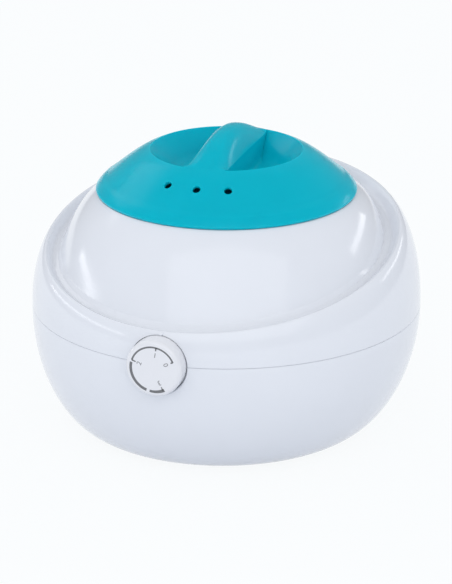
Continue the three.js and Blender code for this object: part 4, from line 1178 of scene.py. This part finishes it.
def cross_screw(shank, head, head_depth, length, countersunk):
    """A cross-recessed screw that points down from its head's top at the origin."""
    if countersunk:
        tip = [(shank * 0.8, -length), (shank, -length + 1 * MM)]
        crown = [(head, -0.1 * MM), (head, 0)]
    else:
        tip = [(shank, -length)]
        flat = 0.7  # share of the head's depth that its crown takes
        crown = [(head, -head_depth)] + [
            (head * math.cos(t), -head_depth * (1 - math.sin(t)) * flat) for t in quarter(6)[:-1]]
    body = turned([(0, -length), *tip, (shank, -head_depth), *crown, (0, 0)], 40)
    arm, width, depth = head * 1.15, head * 0.26, head_depth * 1.1
    return carved(body, *cuts(block(arm, width, depth, 0, 0, 0), block(width, arm, depth, 0, 0, 0)))


class WARMER_OT_pot(bpy.types.Operator):
    """Presses the wax pot with its ears and bends its bail"""

    bl_idname = "warmer.pot"
    bl_label = "Wax pot and bail"

    def execute(self, context):
        pot = context.scene.warmer_pot
        low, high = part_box("wax_pot")
        material = finish_of("aluminium")
        bowl = turned(pan_profile(
            POT_TOP * MM, POT_BOTTOM * MM, pot.wall, low.z, pot.corner, POT_FLANGE * MM, pot.wall, high.x,
        ), pot.segments, material)
        ears = []
        for side in (1, -1):
            thickness = side * EAR_THICKNESS * MM
            inner_x = side * EAR_FACE * MM - thickness
            outline = scaled(rounded(EAR_OUTLINE, [1.8, 1.8], 6))
            flat, thick = ([(x, y, z) for y, z in outline] for x in (inner_x, inner_x + thickness))
            count = len(flat)
            faces = [tuple(range(count)), tuple(reversed(range(count, 2 * count)))]
            faces += [(at, (at + 1) % count, (at + 1) % count + count, at + count) for at in range(count)]
            ear = outward(mesh_of(flat + thick, faces))
            hole = cylinder(1.7 * MM, -REACH, REACH)
            stand = Matrix.Translation((inner_x, 0, BAIL_LEVEL * MM))
            hole.transform(stand @ Matrix.Rotation(math.pi / 2, 4, "Y"))
            ears.append(carved(bevelled(ear, 0.3 * MM), *cuts(hole)))
        bowl = carved(bowl, *unions(*ears))
        finish_piece("wax_pot_bowl", bowl, material, "pot", ["wax_pot"])

        end = [(BAIL_END, 0.0), (70.6, 0.0), (BAIL_HOOP - 1.4, 0.15), (BAIL_HOOP - 0.3, 1.0)]
        hoop = [around(BAIL_HOOP, mix(3.5, 176.5, share)) for share in steps(48)]
        line = end + hoop + [(-x, y) for x, y in reversed(end)]
        smooth = smooth_line(scaled([(x, y, BAIL_LEVEL) for x, y in line]), 3)
        steel = finish_of("steel")
        bail = wire(smooth, pot.bail_wire, steel, 14)
        finish_piece("pot_bail_wire", bail, steel, "bail", ["pot_bail"])
        return {"FINISHED"}


class WARMER_OT_well(bpy.types.Operator):
    """Presses the heating well and sets its flange screws"""

    bl_idname = "warmer.well"
    bl_label = "Heating well"

    def execute(self, context):
        pot = context.scene.warmer_pot
        low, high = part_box("heating_well")
        rim, radius, sheet = high.z, WELL_RADIUS * MM, WELL_SHEET * MM
        material, steel = finish_of("aluminium"), finish_of("steel")
        bowl = turned(pan_profile(
            radius, radius, sheet, low.z, pot.corner, rim - sheet, sheet, high.x), pot.segments, material)
        places = on_circle((OPENING_RADIUS + REBATE_RADIUS) / 2 * MM, (0, 90, 180, 270), rim)
        sink = turned(scaled([(0, -4), (1.7, -4), (1.7, -1.2), (2.9, 0), (2.9, 4), (0, 4)]), 40)
        bowl = carved(bowl, *cuts(copies(sink, places, material)))
        finish_piece("heating_well_bowl", bowl, material, "casing", ["heating_well"])
        screws = copies(cross_screw(1.4 * MM, 2.6 * MM, 1.2 * MM, 10.2 * MM, True), places, steel)
        finish_piece("well_flange_screws", screws, steel, "casing", numbered("well_screw"))
        return {"FINISHED"}


# Bottom and back


class WARMER_OT_fittings(bpy.types.Operator):
    """Sets the rubber feet, the housing screws and the cord gland"""

    bl_idname = "warmer.fittings"
    bl_label = "Feet, screws and gland"

    def execute(self, context):
        casing = context.scene.warmer_casing
        rubber, steel, nylon = finish_of("rubber"), finish_of("steel"), finish_of("black_plastic")
        roll = edge_turn(8, 0, -1.2, 1.2, quarter(5)[1:])
        pad = turned(scaled([(0, 0.4), (4.2, 0.4), (4.8, 0), (6.8, 0), *roll, (8, 3.7), (0, 3.7)]), 64)
        feet = copies(pad, foot_places(), rubber)
        finish_piece("rubber_feet", feet, rubber, "casing", numbered("rubber_foot"))

        screw = cross_screw(1.9 * MM, 4 * MM, 3 * MM, 24 * MM, False)
        screw.transform(Matrix.Rotation(math.pi, 4, "X"))
        screws = copies(
            screw, on_circle(POST_CIRCLE * MM, POST_DEGREES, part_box("housing_screw_1")[0].z), steel)
        finish_piece("housing_screws", screws, steel, "casing", numbered("housing_screw"))

        low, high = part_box("cord_gland")
        face, end = casing.radius + FIT - low.y, high.y - low.y
        bore, rounding = 3.9 * MM, 0.8 * MM
        flange = [
            (9 * MM - rounding * (1 - math.cos(t)), face + 2.2 * MM + rounding * math.sin(t))
            for t in quarter(5)
        ]
        profile = [
            (bore, 0), (6.2 * MM, 0), (6.2 * MM, face), (8.7 * MM, face), (9 * MM, face + 0.3 * MM),
            *flange, (6.7 * MM, face + 3 * MM), (6.4 * MM, face + 3.3 * MM), (6 * MM, end - 0.5 * MM),
            (5.6 * MM, end), (4.5 * MM, end), (bore, end - 0.6 * MM),
        ]
        gland = lying(turned(profile, 72, nylon, looped=True), low.y, (low.z + high.z) / 2, -1)
        finish_piece("cord_gland_body", gland, nylon, "casing", ["cord_gland"])
        return {"FINISHED"}


class WARMER_OT_inner_finishes(bpy.types.Operator):
    """Gives the CAD pieces that stay shown their real finishes"""

    bl_idname = "warmer.inner_finishes"
    bl_label = "Inner finishes"

    def execute(self, context):
        slots = {row["node"]: row["material_slot"] for row in frame["record"]["subparts"]}
        for name, node in frame["nodes"].items():
            if not node.hide_render:
                node.data.materials.clear()
                node.data.materials.append(finish_of(slots[name]))
        return {"FINISHED"}


# Stage

AIM_ASIDE, AIM_HEIGHT = -0.3, 80.9  # of the camera's aim, in millimetres
WHITE, PAPER, SKY = "fcfeff", "e6e9ee", "f9fafd"
PAPER_SEEN = 0.94  # share of plain white in the floor that a camera or a gloss sees
SKY_IN_GLOSS = 0.3  # share of the sky's strength that a gloss mirrors
LAMP_MIDDLE, LAMP_DISTANCE = Vector((0, 0, 0.1)), 1.6
LAMPS = (  # (name, azimuth, elevation, width, height, watts), in degrees and metres
    ("left strip", -70, 8, 1.9, 0.08, 1.6),
    ("right strip", 138, 17, 1.0, 0.15, 1.2),
    ("left box", -112, 38, 0.9, 0.6, 1.4),
    ("fill", 20, 34, 2.4, 1.2, 7),
)


def placed(name, content, place, view):
    """An object at a place that looks along a direction."""
    holder = bpy.data.objects.new(name, content)
    holder.location = place
    holder.rotation_mode = "QUATERNION"
    holder.rotation_quaternion = view.to_track_quat("-Z", "Y")
    bpy.context.scene.collection.objects.link(holder)
    return holder


def softbox(name, azimuth, elevation, width, height, watts):
    """A rectangular lamp that looks at the middle of the part."""
    light = bpy.data.lights.new(name, "AREA")
    light.shape = "RECTANGLE"
    light.size, light.size_y = width, height
    light.energy = watts
    out = direction(math.radians(azimuth), math.radians(elevation))
    placed(name, light, out * LAMP_DISTANCE + LAMP_MIDDLE, -out)


class WARMER_OT_stage(bpy.types.Operator):
    """Sets the camera, the white floor and the soft studio light"""

    bl_idname = "warmer.stage"
    bl_label = "Stage"

    def execute(self, context):
        stage, scene = context.scene.warmer_stage, context.scene
        back = direction(stage.azimuth, stage.elevation)
        aside = AIM_ASIDE * MM
        aim = Vector((aside * math.cos(stage.azimuth), aside * math.sin(stage.azimuth), AIM_HEIGHT * MM))
        camera = placed("camera", bpy.data.cameras.new("camera"), aim + back * stage.distance, -back)
        camera.data.lens = stage.lens
        camera.data.clip_start, camera.data.clip_end = 0.05, 20
        scene.camera = camera

        floor = bpy.data.objects.new("floor", block(8, 8, 0.01, 0, 0, -0.0052))
        material = bpy.data.materials.new("White sweep")
        material.use_nodes = True
        tree = material.node_tree
        tree.nodes.remove(tree.nodes["Principled BSDF"])
        paper = add(tree, "ShaderNodeBsdfDiffuse", inputs={"Color": linear(PAPER)}).outputs[0]
        bright = add(tree, "ShaderNodeEmission", inputs={
            "Color": linear(WHITE), "Strength": 1.0}).outputs[0]
        seen = add(tree, "ShaderNodeMixShader", inputs={0: PAPER_SEEN, 1: paper, 2: bright}).outputs[0]
        rays = tree.nodes.new("ShaderNodeLightPath").outputs
        camera_or_gloss = add(tree, "ShaderNodeMath", {"operation": "MAXIMUM"}, {
            0: rays["Is Camera Ray"], 1: rays["Is Glossy Ray"]}).outputs[0]
        shown = add(tree, "ShaderNodeMixShader", inputs={
            0: camera_or_gloss, 1: paper, 2: seen}).outputs[0]
        tree.links.new(shown, tree.nodes["Material Output"].inputs[0])
        floor.data.materials.append(material)
        scene.collection.objects.link(floor)

        world = bpy.data.worlds.new("Studio")
        world.use_nodes = True
        scene.world = world
        tree = world.node_tree
        even, dim, white = (
            add(tree, "ShaderNodeBackground", inputs={
                "Color": linear(colour), "Strength": strength}).outputs[0]
            for colour, strength in ((SKY, stage.sky), (SKY, stage.sky * SKY_IN_GLOSS), (WHITE, 1.0)))
        rays = tree.nodes.new("ShaderNodeLightPath").outputs
        backdrop = add(tree, "ShaderNodeMath", {"operation": "MAXIMUM"}, {
            0: rays["Is Camera Ray"], 1: rays["Is Transmission Ray"]}).outputs[0]
        lit = add(tree, "ShaderNodeMixShader", inputs={
            0: rays["Is Glossy Ray"], 1: even, 2: dim}).outputs[0]
        shown = add(tree, "ShaderNodeMixShader", inputs={0: backdrop, 1: lit, 2: white}).outputs[0]
        tree.links.new(shown, tree.nodes["World Output"].inputs[0])

        for name, azimuth, elevation, width, height, watts in LAMPS:
            softbox(name, azimuth, elevation, width, height, watts * stage.lamps)
        scene.view_settings.view_transform = "Standard"
        return {"FINISHED"}


# Add-on

STEPS = [
    WARMER_OT_upper_casing,
    WARMER_OT_lower_casing,
    WARMER_OT_lid,
    WARMER_OT_knob,
    WARMER_OT_pot,
    WARMER_OT_well,
    WARMER_OT_fittings,
    WARMER_OT_inner_finishes,
    WARMER_OT_stage,
]


class WARMER_PT_panel(bpy.types.Panel):
    """Lists the pieces and their settings"""

    bl_idname = "WARMER_PT_panel"
    bl_label = "Wax warmer"
    bl_space_type = "VIEW_3D"
    bl_region_type = "UI"
    bl_category = "Warmer"

    def draw(self, context):
        for step in STEPS:
            self.layout.operator(step.bl_idname)
        for name, settings in SETTINGS.items():
            box = self.layout.box()
            box.label(text=settings.__doc__)
            for key in settings.__annotations__:
                box.prop(getattr(context.scene, name), key)


CLASSES = [*SETTINGS.values(), *STEPS, WARMER_PT_panel]


def register():
    for each in CLASSES:
        bpy.utils.register_class(each)
    for name, settings in SETTINGS.items():
        setattr(bpy.types.Scene, name, bpy.props.PointerProperty(type=settings))


def unregister():
    for name in SETTINGS:
        delattr(bpy.types.Scene, name)
    for each in reversed(CLASSES):
        bpy.utils.unregister_class(each)


def main():
    register()
    TREES.update(rings=ring_tree(), copies=copies_tree(), wire=wire_tree())
    for step in STEPS:
        group, name = step.bl_idname.split(".")
        getattr(getattr(bpy.ops, group), name)()


if __name__ == "__main__":
    main()
